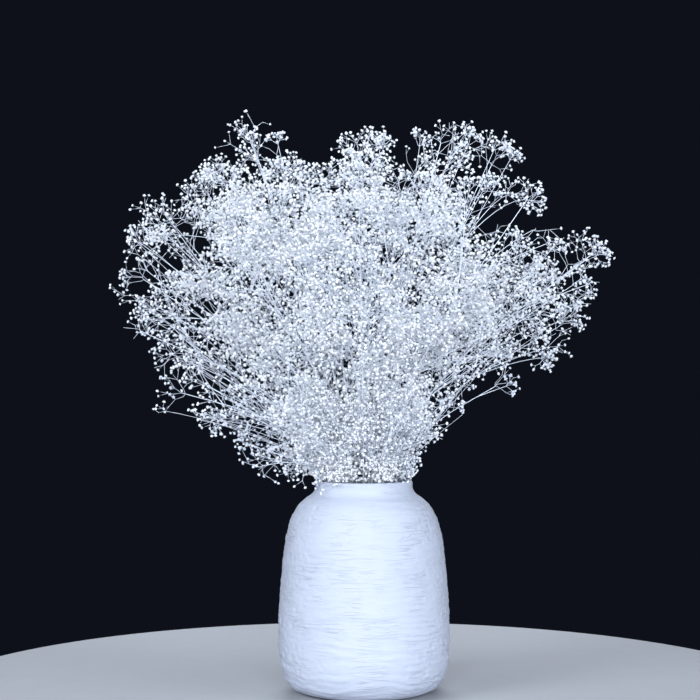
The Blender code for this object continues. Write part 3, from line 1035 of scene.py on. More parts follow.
class Board:
    """The nodes of one material, round its Principled shader."""

    def __init__(self, name: str) -> None:
        """Makes the material, with the shader that its nodes feed.

        Args:
            name: Name of the material.
        """
        self.material = bpy.data.materials.new(name)
        self.material.use_nodes = True
        self.tree = self.material.node_tree
        self.shader = self.tree.nodes["Principled BSDF"]

    def feed(self, socket: bpy.types.NodeSocket, value: object) -> None:
        """Sets a socket to a constant, or links a number or another socket to it.

        Args:
            socket: The socket.
            value: The constant, number or other socket.
        """
        if isinstance(value, Number):
            value = value.socket
        if isinstance(value, bpy.types.NodeSocket):
            self.tree.links.new(value, socket)
        else:
            socket.default_value = value

    def node(self, kind: str, settings: dict, feeds: dict) -> bpy.types.Node:
        """Adds a node.

        Args:
            kind: The node's type.
            settings: Its own settings by name, set first.
            feeds: What feeds its sockets, by name or number.

        Returns:
            The node.
        """
        made = self.tree.nodes.new(kind)
        for name, value in settings.items():
            setattr(made, name, value)
        for key, value in feeds.items():
            self.feed(made.inputs[key], value)
        return made

    def math(self, operation: str, *values: "Number | float") -> Number:
        """A Math node's result on these values."""
        made = self.node("ShaderNodeMath", {"operation": operation}, dict(enumerate(values)))
        return Number(self, made.outputs[0])

    def places(self) -> bpy.types.NodeSocket:
        """Object coordinates."""
        return self.node("ShaderNodeTexCoord", {}, {}).outputs["Object"]

    def stretched(self, where: bpy.types.NodeSocket, scale: tuple) -> bpy.types.NodeSocket:
        """Coordinates stretched along the axes."""
        return self.node("ShaderNodeMapping", {}, {"Vector": where, "Scale": scale}).outputs["Vector"]

    def shade(self, feeds: dict) -> bpy.types.Material:
        """Feeds the shader's sockets by name, and gives the finished material.

        Args:
            feeds: What feeds each socket.

        Returns:
            The material.
        """
        for name, value in feeds.items():
            self.feed(self.shader.inputs[name], value)
        return self.material

    def attribute(self, name: str) -> Number:
        """A number that the mesh holds at each of its corners."""
        made = self.node("ShaderNodeAttribute", {"attribute_name": name}, {})
        return Number(self, made.outputs["Fac"])

    def noise(self, where: bpy.types.NodeSocket, scale: float, detail: float) -> Number:
        """Soft noise, from 0 to 1 round one half."""
        feeds = {"Vector": where, "Scale": scale, "Detail": detail}
        return Number(self, self.node("ShaderNodeTexNoise", {}, feeds).outputs["Fac"])

    def ramp(self, value: Number, low: float, high: float) -> Number:
        """Eases from 0 to 1 as a value goes from low to high.

        Args:
            value: The value.
            low: Where the result is 0.
            high: Where it is 1.

        Returns:
            The result.
        """
        feeds = {"Value": value, "From Min": low, "From Max": high}
        made = self.node("ShaderNodeMapRange", {"interpolation_type": "SMOOTHSTEP"}, feeds)
        return Number(self, made.outputs["Result"])

    def blend(self, share: Number, first: object, second: object) -> bpy.types.NodeSocket:
        """A colour between two others. The Mix node's colour sockets are found by their numbers."""
        feeds = {MIX_SHARE: share, MIX_FIRST: first, MIX_SECOND: second}
        return self.node("ShaderNodeMix", {"data_type": "RGBA"}, feeds).outputs[MIX_RESULT]

    def bump(self, height: Number, strength: float, distance: float) -> bpy.types.NodeSocket:
        """A normal that follows a height."""
        feeds = {"Strength": strength, "Distance": distance, "Height": height}
        return self.node("ShaderNodeBump", {}, feeds).outputs["Normal"]


@dataclass(frozen=True)
class PetalFinish:
    """Bleached petals: matt white, cooler or warmer from tuft to tuft, bluer and darker where less bleached,
    and with painted shade, bluer and darker, in their creases and where the bunch thins.
    """

    cool: Colour = (0.91, 0.94, 0.97, 1.0)
    warm: Colour = (0.95, 0.95, 0.94, 1.0)
    # Dull bluish colour: of the less bleached florets, and painted shade in the creases and where the bunch
    # thins.
    dull_and_shaded: Colour = (0.70, 0.76, 0.91, 1.0)
    drift_scale: float = 16.0
    drift_ramp: tuple = (0.35, 0.65)
    crumple_scale: float = 900.0
    # How much crease-sized noise darkens the petals: painted shade in their creases.
    crumple_shade: float = 0.25
    bleach_ramp: tuple = (0.0, 0.6)
    roughness: float = 0.70
    crumple_roughness: float = 0.2
    glow: float = 0.6
    glow_colours: tuple = (1.0, 1.0, 1.0)
    glow_depth: float = 0.0025

    def material(self) -> bpy.types.Material:
        """The petals' material.

        Returns:
            The material.
        """
        board = Board("bleached_petals")
        where = board.places()
        drift = board.ramp(board.noise(where, self.drift_scale, detail=2.0), *self.drift_ramp)
        crumple = board.noise(where, self.crumple_scale, detail=1.0)
        white = board.blend(drift, self.cool, self.warm)
        # Whiteness held by the mesh, lowered by painted shade where the bunch thins and in the creases.
        bleach_and_shade = board.ramp(board.attribute("bleach_and_shade") - self.crumple_shade * crumple, *self.bleach_ramp)
        return board.shade({
            "Base Color": board.blend(bleach_and_shade, self.dull_and_shaded, white),
            "Roughness": self.roughness + self.crumple_roughness * crumple,
            "Subsurface Weight": self.glow,
            "Subsurface Radius": self.glow_colours,
            "Subsurface Scale": self.glow_depth,
        })


@dataclass(frozen=True)
class StalkFinish:
    """Bleached stems: straw coloured low down, cream further out, with fine mottling."""

    straw: Colour = (0.72, 0.73, 0.66, 1.0)
    cream: Colour = (0.80, 0.84, 0.92, 1.0)
    mottle_scale: float = 260.0
    mottle_bleach: float = 0.5
    bleach_ramp: tuple = (0.25, 1.0)
    roughness: float = 0.60
    mottle_roughness: float = 0.25

    def material(self) -> bpy.types.Material:
        """The stems' material.

        Returns:
            The material.
        """
        board = Board("bleached_stems")
        mottle = board.noise(board.places(), self.mottle_scale, detail=3.0)
        bleach_and_shade = board.ramp(board.attribute("bleach_and_shade") + self.mottle_bleach * mottle, *self.bleach_ramp)
        return board.shade({
            "Base Color": board.blend(bleach_and_shade, self.straw, self.cream),
            "Roughness": self.roughness + self.mottle_roughness * mottle,
        })


@dataclass(frozen=True)
class CeramicFinish:
    """Unglazed white clay: chalky, with a fine grain, and painted shade, darker and bluer, in its brushed
    grooves, pits and strokes.
    """

    white: Colour = (0.53, 0.57, 0.665, 1.0)
    # Painted shade: the darker, bluer colour of the grooves, pits and brush strokes.
    groove_shade: Colour = (0.46, 0.50, 0.61, 1.0)
    grain_scale: float = 700.0
    stroke_scale: float = 26.0
    stroke_stretch: tuple = (1.0, 1.0, 10.0)
    stroke_width: float = 0.045
    # How strongly brush strokes are darkened in colour: painted shadow lines.
    stroke_shadow: float = 0.3
    stroke_cut: float = 0.7
    patch_scale: float = 42.0
    patch_ramp: tuple = (0.36, 0.62)
    shade_ramp: tuple = (0.30, 1.3)
    roughness: float = 0.62
    grain_roughness: float = 0.25
    grain_heights: tuple = (0.22, 0.7)
    flow_height: float = 0.5
    bump_strength: float = 0.7
    bump_distance: float = 0.0008

    def material(self) -> bpy.types.Material:
        """The vase's material.

        Returns:
            The material.
        """
        board = Board("vase_ceramic")
        where = board.places()
        grain = board.noise(where, self.grain_scale, detail=3.0)
        flow = board.noise(board.stretched(where, self.stroke_stretch), self.stroke_scale, detail=2.5)
        patches = board.ramp(board.noise(where, self.patch_scale, detail=1.0), *self.patch_ramp)
        line = 1 - board.ramp(board.math("ABSOLUTE", flow - HALF), 0.0, self.stroke_width)
        stroke = line * patches
        # The mesh's share of painted shade in grooves and pits, which also deepens the grain's bump.
        depth = board.attribute("groove_shade")
        share = board.ramp(depth + self.stroke_shadow * stroke, *self.shade_ramp)
        even, grooved = self.grain_heights
        height = (even + grooved * depth) * grain + self.flow_height * flow - self.stroke_cut * stroke
        return board.shade({
            "Base Color": board.blend(share, self.white, self.groove_shade),
            "Roughness": self.roughness + self.grain_roughness * grain,
            "Normal": board.bump(height, self.bump_strength, self.bump_distance),
        })


@dataclass(frozen=True)
class FloorFinish:
    """A plain pale studio floor, very slightly mottled."""

    pale: Colour = (0.40, 0.41, 0.43, 1.0)
    paler: Colour = (0.46, 0.47, 0.49, 1.0)
    scale: float = 30.0
    roughness: float = 0.7
    drift_roughness: float = 0.2

    def material(self) -> bpy.types.Material:
        """The floor's material.

        Returns:
            The material.
        """
        board = Board("studio_floor")
        drift = board.noise(board.places(), self.scale, detail=4.0)
        return board.shade({
            "Base Color": board.blend(drift, self.pale, self.paler),
            "Roughness": self.roughness + self.drift_roughness * drift,
        })


# Objects

def add_object(name: str, data: bpy.types.ID) -> bpy.types.Object:
    """Puts a new object with this data in the scene.

    Args:
        name: Name of the object.
        data: Its mesh, light or camera.

    Returns:
        The object.
    """
    made = bpy.data.objects.new(name, data)
    bpy.context.scene.collection.objects.link(made)
    return made


def add_solid(name: str, bm: bmesh.types.BMesh, finishes: list[bpy.types.Material]) -> bpy.types.Object:
    """Puts a new object in the scene that takes over a bmesh.

    Args:
        name: Name of the object and of its mesh.
        bm: The bmesh, which is freed.
        finishes: Its materials.

    Returns:
        The object.
    """
    mesh = bpy.data.meshes.new(name)
    bm.to_mesh(mesh)
    bm.free()
    for finish in finishes:
        mesh.materials.append(finish)
    return add_object(name, mesh)


# Small shapes that are set many times

class Part(Enum):
    """Slots of a spray's materials."""

    PETALS = 0
    STALKS = 1


class Shape:
    """A small mesh that is set many times, each time turned and sized by a matrix."""

    def __init__(self, name: str, bm: bmesh.types.BMesh, part: Part) -> None:
        """Takes over a finished bmesh.

        Args:
            name: Name of its mesh.
            bm: The bmesh, which is freed.
            part: Slot of its material.
        """
        for face in bm.faces:
            face.material_index = part.value
            face.smooth = True
        bm.verts.layers.float.new("bleach_and_shade")
        self.mesh = bpy.data.meshes.new(name)
        bm.to_mesh(self.mesh)
        bm.free()
        self.count = len(self.mesh.vertices)
        corners = np.empty(self.count * 3, np.float32)
        self.mesh.vertices.foreach_get("co", corners)
        self.corners = corners.reshape(-1, 3)

    def set_into(self, bm: bmesh.types.BMesh, matrix: Matrix, bleach_and_shade: float) -> None:
        """Adds a copy to a bmesh.

        Args:
            bm: What it is added to.
            matrix: Turns, sizes and places it.
            bleach_and_shade: How white it is, from 0 to 1.
        """
        turned = np.array(matrix, np.float32)
        placed = self.corners @ turned[:3, :3].T + turned[:3, 3]
        self.mesh.vertices.foreach_set("co", placed.ravel())
        self.mesh.attributes["bleach_and_shade"].data.foreach_set("value", np.full(self.count, bleach_and_shade, np.float32))
        bm.from_mesh(self.mesh, face_normals=False, vertex_normals=False)


@dataclass(frozen=True)
class FloretForm:
    """A floret. Its lower cone is the calyx, below one whorl of petals, or two where it is double.

    Radii and heights are shares of the floret's radius. Each whorl is a ring of petal tips and notches.
    """

    petals: int = 5
    radius: float = 0.0020
    outer_tips: tuple = (1.0, 0.72)
    outer_notches: tuple = (0.72, 0.96)
    inner_tips: tuple = (0.66, 1.40)
    inner_notches: tuple = (0.42, 1.20)
    single_middle: float = 1.50
    double_middle: float = 1.34
    unevenness: float = 0.10
    variants: int = 4

    def lay_whorl(self, cap: bmesh.types.BMFace, tips: tuple, notches: tuple, turn: float,
                  draw: random.Random) -> None:
        """Sets a face's corners to petal tips and notches by turns.

        Args:
            cap: The face, with two corners for each petal.
            tips: Radius and height of the tips.
            notches: Radius and height of the notches.
            turn: How far the whorl is turned, in steps from tip to notch.
            draw: Makes each corner a little uneven.
        """
        for i, loop in enumerate(cap.loops):
            reach, height = notches if i % 2 else tips
            around = math.pi * (i + turn) / self.petals
            reach *= self.radius * (1 + draw.uniform(-self.unevenness, self.unevenness))
            height *= self.radius * (1 + draw.uniform(-self.unevenness, self.unevenness))
            loop.vert.co = (reach * math.cos(around), reach * math.sin(around), height)

    def shape(self, number: int, double: bool) -> Shape:
        """One of the variants, standing on the origin.

        Args:
            number: Which variant it is.
            double: Whether it has a second whorl of petals.

        Returns:
            The shape.
        """
        draw = random.Random(number)
        bm = bmesh.new()
        cone = bmesh.ops.create_cone(
            bm, cap_ends=False, segments=2 * self.petals, radius1=0, radius2=self.radius, depth=self.radius)
        bmesh.ops.remove_doubles(bm, verts=cone["verts"], dist=self.radius * WELD_SHARE)
        bmesh.ops.translate(bm, verts=bm.verts[:], vec=(0, 0, self.radius / 2))
        rim = [edge for edge in bm.edges if edge.is_boundary]
        cap = bmesh.ops.contextual_create(bm, geom=rim)["faces"][0]
        bmesh.ops.recalc_face_normals(bm, faces=bm.faces[:])
        self.lay_whorl(cap, self.outer_tips, self.outer_notches, 0, draw)
        if double:
            cap = bmesh.ops.extrude_discrete_faces(bm, faces=[cap])["faces"][0]
            self.lay_whorl(cap, self.inner_tips, self.inner_notches, 1, draw)
        centre = bmesh.ops.poke(bm, faces=[cap])["verts"][0]
        middle = self.double_middle if double else self.single_middle
        centre.co = (0, 0, middle * self.radius)
        bmesh.ops.triangulate(bm, faces=bm.faces[:])
        return Shape(f"floret_{number}", bm, Part.PETALS)


@dataclass(frozen=True)
class BudForm:
    """A closed bud, egg shaped."""

    radius: float = 0.0014
    stretch: float = 1.35

    def shape(self) -> Shape:
        """The bud, standing on the origin.

        Returns:
            The shape.
        """
        bm = bmesh.new()
        bmesh.ops.create_icosphere(bm, subdivisions=1, radius=self.radius)
        bmesh.ops.scale(bm, verts=bm.verts[:], vec=(1, 1, self.stretch))
        bmesh.ops.translate(bm, verts=bm.verts[:], vec=(0, 0, self.radius))
        return Shape("bud", bm, Part.PETALS)


@dataclass(frozen=True)
class StalkForm:
    """A short straight stalk of unit length, thinner towards its tip."""

    name: str
    foot_radius: float
    tip_radius: float
    sides: int = 3

    def shape(self) -> Shape:
        """The stalk, standing on the origin.

        Returns:
            The shape.
        """
        bm = bmesh.new()
        bmesh.ops.create_cone(
            bm, cap_ends=True, segments=self.sides, radius1=self.foot_radius, radius2=self.tip_radius,
            depth=1)
        bmesh.ops.remove_doubles(bm, verts=bm.verts[:], dist=self.foot_radius * WELD_SHARE)
        bmesh.ops.translate(bm, verts=bm.verts[:], vec=UP * HALF)
        return Shape(self.name, bm, Part.STALKS)


class Tube:
    """A closed round tube along a line, raised ring by ring."""

    def __init__(self, sides: int) -> None:
        """Keeps the directions of a ring's corners."""
        turns = [FULL_TURN * i / sides for i in range(sides)]
        self.ways = [(math.cos(turn), math.sin(turn)) for turn in turns]

    def lay_ring(self, cap: bmesh.types.BMFace, centre: Vector, sides: tuple, radius: float) -> None:
        """Sets the corners of a cap round a centre.

        Args:
            cap: The cap.
            centre: Middle of the ring.
            sides: Two directions across the tube.
            radius: Radius of the ring.
        """
        side, other = sides
        for loop, (cosine, sine) in zip(cap.loops, self.ways):
            loop.vert.co = centre + (side * cosine + other * sine) * radius

    def raise_along(self, line: list[Vector], radii: list[float], bleach_and_shade: list[float]) -> bmesh.types.BMesh:
        """A tube in a bmesh of its own.

        Args:
            line: Middles of the rings.
            radii: Radius of each ring.
            bleach_and_shade: How white each ring is.

        Returns:
            The bmesh.
        """
        bm = bmesh.new()
        white = bm.verts.layers.float.new("bleach_and_shade")
        ring = bmesh.ops.create_circle(bm, cap_ends=True, segments=len(self.ways), radius=1)["verts"]
        cap = ring[0].link_faces[0]
        side = (line[1] - line[0]).orthogonal().normalized()
        for i, centre in enumerate(line):
            ahead = (line[min(i + 1, len(line) - 1)] - line[max(i - 1, 0)]).normalized()
            side = (side - ahead * side.dot(ahead)).normalized()
            if i:
                cap = bmesh.ops.extrude_discrete_faces(bm, faces=[cap])["faces"][0]
            self.lay_ring(cap, centre, (side, ahead.cross(side)), radii[i])
            for loop in cap.loops:
                loop.vert[white] = bleach_and_shade[i]
            if not i:
                cap.copy(verts=False, edges=False).normal_flip()
        for face in bm.faces:
            face.material_index = Part.STALKS.value
            face.smooth = True
        return bm


# Sprays

def standing(place: Vector, way: Vector) -> Matrix:
    """Matrix that sets a shape on a place, upright along a direction."""
    return Matrix.Translation(place) @ way.to_track_quat("Z", "Y").to_matrix().to_4x4()


@dataclass(frozen=True)
class Tuft:
    """How a tuft is made: its missing share of florets, its length beside the usual, and its florets' most
    whiteness, lower for painted shade where the bunch thins.
    """

    missing: float
    size: float
    white: float


@dataclass(frozen=True)
class SprayForm:
    """How a spray is drawn finely: its tubes, and the forks, twigs and florets on them."""

    shaft_sides: int = 6
    shaft_rings: int = 24
    branch_sides: int = 5
    branch_rings: int = 8
    stalk_sides: int = 4
    stalk_rings: int = 3
    node_swell: float = 1.35
    shaft_tip_radius: float = 0.00036
    shaft_taper: float = 1.8
    branch_radius: float = 0.00046
    branch_tip_radius: float = 0.00028
    stalk_radius: float = 0.00027
    stalk_tip_radius: float = 0.00022
    stalk_bulge: float = 0.08
    shaft_whites: tuple = (0.0, 1.0)
    branch_whites: tuple = (0.5, 0.9)
    extra_whites: tuple = (0.6, 0.9)
    stalk_whites: tuple = (0.8, 1.0)
    tuft_start: float = 0.016
    least_stalk: float = 0.003
    tuft_rays: int = 3
    twig_rays: tuple = (1, 2)
    fork_levels: int = 2
    ray_length: float = 0.0092
    ray_splay: float = math.radians(36)
    fork_length: float = 0.0082
    fork_angle: float = math.radians(40)
    floret_stalk: float = 0.0074
    thread_end: float = 0.0020
    angle_change: float = math.radians(12)
    length_change: float = 0.30
    missing: float = 0.04
    fringe_missing: float = 0.47
    bud_share: float = 0.14
    double_share: float = 0.28
    floret_sizes: tuple = (0.76, 1.02)
    floret_whites: tuple = (0.56, 1.0)
    twig_lengths: tuple = (0.014, 0.034)
    twig_angles: tuple = (math.radians(28), math.radians(62))
    twig_radius: float = 0.00026
    twig_room: float = 0.005
    floret_room: float = 0.0018
    branch_twig_spacing: float = 0.0068
    shaft_twig_spacing: float = 0.0068
    twig_bow: float = 0.15
    twig_rings: int = 2
    look_ahead: float = 0.02
    collar_twigs: int = 10
    collar_reach: float = 0.16
    rim_tufts: int = 17
    rim_core: float = 0.026
    rim_reach: float = 0.06
    rim_size: float = 0.62
    rim_angles: tuple = (math.radians(35), math.radians(112))
    rim_turn: float = math.radians(75)
    # Whiteness of the florets at the fringe of the bunch: painted shade, lower where the bunch thins.
    fringe_shaded_white: float = 0.45
    extra_bulge: float = 0.45
    extra_bare: float = 0.45
    extra_twigs: int = 4
    extra_stalks: int = 3
    extra_splay: float = math.radians(52)
    extra_stalk: float = 0.019
    strand_roots: tuple = (0.02, 0.16)
    strand_lifts: tuple = (0.02, 0.14)
    strand_radius: float = 0.00028
    strand_tip_radius: float = 0.00022
    strand_sides: int = 3
    strand_missing: float = 0.25


@dataclass
class Spray:
    """One flowering stem in full detail, which stands for its node. Its number seeds its draws."""

    stem: Stem
    number: int
    shapes: dict
    form: SprayForm = field(default_factory=SprayForm)
    vase: VaseForm = field(default_factory=VaseForm)
    skyline: Skyline = field(default_factory=Skyline)
    florets: int = 0

    def __post_init__(self) -> None:
        """Starts an empty mesh, with draws of its own."""
        self.draw = random.Random(self.number)
        self.bm = bmesh.new()
        self.bm.verts.layers.float.new("bleach_and_shade")
        self.scrap = bpy.data.meshes.new("scrap")

    def add_tube(self, line: list[Vector], radii: tuple, sides: int, bleach_and_shade: tuple, swell: float = 1.0,
                 taper: float = 1.0) -> None:
        """Adds a tube.

        Args:
            line: Middles of its rings.
            radii: Radius at its start and at its end.
            sides: Number of its sides.
            bleach_and_shade: How white it is at its start and at its end.
            swell: How much thicker its first ring is.
            taper: 1 where it thins evenly, more where it thins sooner.
        """
        marks = marks_along(line)
        shares = [mark / marks[-1] for mark in marks]
        widths = [radii[1] + (radii[0] - radii[1]) * (1 - share) ** taper for share in shares]
        widths[0] *= swell
        whites = [bleach_and_shade[0] + (bleach_and_shade[1] - bleach_and_shade[0]) * share for share in shares]
        tube = Tube(sides).raise_along(line, widths, whites)
        tube.to_mesh(self.scrap)
        tube.free()
        self.bm.from_mesh(self.scrap, face_normals=False, vertex_normals=False)

    def varied(self, length: float) -> float:
        """A length a little longer or shorter."""
        return length * (1 + self.draw.uniform(-self.form.length_change, self.form.length_change))

    def add_stalk(self, kind: str, start: Vector, way: Vector, length: float) -> None:
        """Adds a short straight stalk of a kind."""
        size = Matrix.Diagonal((1, 1, length, 1))
        self.shapes[kind].set_into(self.bm, standing(start, way) @ size, 1.0)

    def add_floret(self, start: Vector, way: Vector, tuft: Tuft) -> None:
        """Adds a thread of a stalk with a floret or a bud on it, or nothing where one is missing.

        Args:
            start: Where the thread starts.
            way: Direction of the thread.
            tuft: How its tuft is made.
        """
        length = self.varied(self.form.floret_stalk) * tuft.size
        end = start + way * length
        if self.draw.random() < tuft.missing or self.skyline.is_open(end):
            return
        if not self.vase.clears(end, self.form.floret_room, 0.0):
            return
        self.add_stalk("thread", start, way, length + self.form.thread_end)
        kind = self.draw.random()
        if kind < self.form.bud_share:
            shape = self.shapes["bud"]
        elif kind < self.form.bud_share + self.form.double_share:
            shape = self.draw.choice(self.shapes["double"])
        else:
            shape = self.draw.choice(self.shapes["single"])
        spin = Matrix.Rotation(self.draw.uniform(0, FULL_TURN), 4, "Z")
        size = Matrix.Scale(self.draw.uniform(*self.form.floret_sizes), 4)
        # Random whiteness, times the tuft's, which holds painted shade where the bunch thins.
        bleach_and_shade = self.draw.uniform(*self.form.floret_whites) * tuft.white
        shape.set_into(self.bm, standing(end, way) @ spin @ size, bleach_and_shade)
        self.florets += 1

    def add_fork(self, start: Vector, way: Vector, around: float, levels: int, tuft: Tuft) -> None:
        """Adds a floret and two side shoots, which fork again while levels are left.

        Args:
            start: Where they part.
            way: Direction of the floret in the middle.
            around: To which side the shoots part.
            levels: How often the shoots fork.
            tuft: How the tuft that they are in is made.
        """
        form = self.form
        self.add_floret(start, tilted(way, self.draw.uniform(0, form.angle_change), around), tuft)
        for side in (0, math.pi):
            tilt = form.fork_angle + self.draw.uniform(-form.angle_change, form.angle_change)
            shoot = tilted(way, tilt, around + side)
            if levels > 1:
                length = self.varied(form.fork_length) * tuft.size
                end = start + shoot * length
                if not self.skyline.is_open(end):
                    self.add_stalk("stalk", start, shoot, length)
                    self.add_fork(end, shoot, around + math.pi / 2, levels - 1, tuft)
            else:
                self.add_floret(start, shoot, tuft)

    def add_tuft(self, base: Vector, axis: Vector, rays: int, size: float = 1.0,
                 least: float = 0.0) -> None:
        """Adds rays that spread from a point, each forking twice into florets, fewer and with painted shade
        where the bunch thins.

        Args:
            base: The point.
            axis: Direction of the tuft.
            rays: Most rays that it has.
            size: Its length beside the usual.
            least: Least fullness that it has.
        """
        form = self.form
        full = self.skyline.fullness(base + axis * form.ray_length)
        # Florets are duller and bluer where the bunch is less full, at its fringe, in thin spots and in its
        # core: painted shade.
        white = form.fringe_shaded_white + (1 - form.fringe_shaded_white) * full
        full = max(full, least)
        tuft = Tuft(form.fringe_missing + (form.missing - form.fringe_missing) * full, size, white)
        rays = max(1, math.ceil(rays * full))
        around = self.draw.uniform(0, FULL_TURN)
        for i in range(rays):
            splay = form.ray_splay + self.draw.uniform(-form.angle_change, form.angle_change)
            way = tilted(axis, splay if rays > 1 else 0.0, around + FULL_TURN * i / rays)
            length = self.varied(form.ray_length) * size
            end = base + way * length
            if not self.skyline.is_open(end):
                self.add_stalk("stalk", base, way, length)
                self.add_fork(end, way, self.draw.uniform(0, FULL_TURN), form.fork_levels, tuft)

    def add_whorl(self, whorl: Whorl, size: float = 1.0, least: float = 0.0) -> None:
        """Adds the stalks of a whorl, each with a tuft in the place of its head.

        Args:
            whorl: The whorl.
            size: Length of its tufts beside the usual.
            least: Least fullness that they have.
        """
        form = self.form
        for direction, length in whorl.stalks:
            base = whorl.centre + direction * max(length - form.tuft_start * size, form.least_stalk)
            if self.skyline.is_open(base):
                continue
            aside = tilted(direction, math.pi / 2, self.draw.uniform(0, FULL_TURN))
            bow = whorl.centre.lerp(base, HALF) + aside * length * form.stalk_bulge
            line = bowed_line(whorl.centre, bow, base, form.stalk_rings)
            radii = (form.stalk_radius, form.stalk_tip_radius)
            self.add_tube(line, radii, form.stalk_sides, form.stalk_whites)
            self.add_tuft(base, end_way(line), form.tuft_rays, size, least)

    def add_twig(self, root: Vector, direction: Vector) -> None:
        """Adds a short twig with a small tuft, where the bunch is full enough and the vase is clear of it.

        Args:
            root: Where it leaves.
            direction: Direction of what it leaves.
        """
        form = self.form
        tilt = self.draw.uniform(*form.twig_angles)
        length = self.draw.uniform(*form.twig_lengths)
        around = self.draw.uniform(0, FULL_TURN)
        rays = self.draw.choice(form.twig_rays)
        way = tilted(direction, tilt, around)
        end = root + way * length
        full = self.skyline.fullness(end + way * form.ray_length)
        if self.draw.random() > full or self.skyline.is_open(end):
            return
        if not self.vase.clears(end, form.twig_room, 0.0):
            return
        bow = root.lerp(end, HALF) + direction * length * form.twig_bow
        line = bowed_line(root, bow, end, form.twig_rings)
        radii = (form.twig_radius, form.stalk_tip_radius)
        self.add_tube(line, radii, form.stalk_sides, form.stalk_whites)
        self.add_tuft(end, end_way(line), rays)

    def add_twigs(self, along: Callable[[float], Vector], reach: float, count: int) -> None:
        """Adds twigs along the start of a line.

        Args:
            along: Gives the point at a share of the line.
            reach: Share of the line that they take up.
            count: How many they are.
        """
        for i in range(count):
            share = reach * (i + self.draw.random()) / count
            at = along(share)
            self.add_twig(at, (along(share + self.form.look_ahead) - at).normalized())

    def add_branch(self, branch: Branch) -> None:
        """Adds a side branch with its twigs and its whorl.

        Args:
            branch: The side branch.
        """
        form = self.form
        root = self.stem.arch_point(self.stem.arch_share(branch.at))
        end = branch.line[-1]
        line = bowed_line(root, branch.bow, end, form.branch_rings)
        radii = (form.branch_radius, form.branch_tip_radius)
        self.add_tube(line, radii, form.branch_sides, form.branch_whites, form.node_swell)
        twigs = int((end - root).length / form.branch_twig_spacing)
        self.add_twigs(lambda share: bowed(root, branch.bow, end, share), 1.0, twigs)
        self.add_whorl(branch.whorl)

    def add_shaft(self) -> None:
        """Adds the shaft with its own twigs, and tufts at the rim if it stands away from the vase's axis."""
        form, stem = self.form, self.stem
        shares = [i / form.shaft_rings for i in range(form.shaft_rings + 1)]
        line = [stem.line[0]] + [stem.arch_point(share) for share in shares]
        radii = (stem.foot_radius, form.shaft_tip_radius)
        self.add_tube(line, radii, form.shaft_sides, form.shaft_whites, taper=form.shaft_taper)
        arch_length = sum((end - start).length for start, end in zip(line[1:], line[2:]))
        self.add_twigs(stem.arch_point, 1.0, int(arch_length / form.shaft_twig_spacing))
        self.add_twigs(stem.arch_point, form.collar_reach, form.collar_twigs)
        if math.hypot(line[1].x, line[1].y) < form.rim_core:
            return
        for i in range(form.rim_tufts):
            at = stem.arch_point(form.rim_reach * i / form.rim_tufts)
            turn = Matrix.Rotation(self.draw.uniform(-form.rim_turn, form.rim_turn), 3, "Z")
            outwards = turn @ Vector((at.x, at.y, 0)).normalized()
            way = leaning(outwards, self.draw.uniform(*form.rim_angles))
            self.add_tuft(at, way, self.draw.choice(form.twig_rays), form.rim_size)

    def add_extra_shoot(self, shoot: Shoot) -> None:
        """Adds a long thin side shoot that ends in a whorl of tufts.

        Args:
            shoot: The shoot.
        """
        form, stem = self.form, self.stem
        end = Vector(shoot.end)
        start = stem.arch_share(stem.nearest(end)[1]) * shoot.root
        root = stem.arch_point(start)
        along = (stem.arch_point(start + form.look_ahead) - root).normalized()
        bow = root.lerp(end, form.extra_bulge) + along * (end - root).length * shoot.lift
        line = bowed_line(root, bow, end, form.branch_rings)
        self.add_tube(line, (form.branch_radius, form.stalk_radius), form.branch_sides, form.extra_whites)
        bare = form.extra_bare
        twigs = round(form.extra_twigs * shoot.size)
        self.add_twigs(lambda share: bowed(root, bow, end, bare + share), 1 - bare, twigs)
        axis = end_way(line)
        around = self.draw.uniform(0, FULL_TURN)
        stalks = [(axis, form.extra_stalk * shoot.size)]
        for i in range(form.extra_stalks):
            way = tilted(axis, form.extra_splay, around + FULL_TURN * i / form.extra_stalks)
            stalks.append((way, self.varied(form.extra_stalk) * shoot.size))
        self.add_whorl(Whorl(end, stalks), shoot.size, shoot.full)

    def add_strand(self, end: Vector) -> None:
        """Adds a fine bare side stem from near the neck to a fork of florets, where the bunch isn't open.

        Args:
            end: Where it ends.
        """
        if self.skyline.is_open(end):
            return
        form, stem = self.form, self.stem
        root_share = self.draw.uniform(*form.strand_roots)
        root = stem.arch_point(root_share)
        along = (stem.arch_point(root_share + form.look_ahead) - root).normalized()
        bow = root.lerp(end, HALF) + along * (end - root).length * self.draw.uniform(*form.strand_lifts)
        line = bowed_line(root, bow, end, form.branch_rings)
        radii = (form.strand_radius, form.strand_tip_radius)
        self.add_tube(line, radii, form.strand_sides, form.branch_whites)
        tuft = Tuft(form.strand_missing, 1.0, 1.0)
        self.add_fork(end, end_way(line), self.draw.uniform(0, FULL_TURN), form.fork_levels, tuft)

    def build(self, finishes: list[bpy.types.Material]) -> bpy.types.Object:
        """Makes the whole spray a piece that stands for its node.

        Args:
            finishes: Materials of the petals and of the stalks.

        Returns:
            The piece.
        """
        self.add_shaft()
        for branch in self.stem.branches:
            self.add_branch(branch)
        self.add_whorl(self.stem.whorl)
        for shoot in self.stem.extra_shoots:
            self.add_extra_shoot(shoot)
        for end in self.stem.strand_ends:
            self.add_strand(end)
        self.bm.normal_update()
        bpy.data.meshes.remove(self.scrap)
        piece = add_solid(f"fine_{self.stem.name}", self.bm, finishes)
        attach(piece, BODY)
        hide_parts(self.stem.name)
        return piece


# The vase

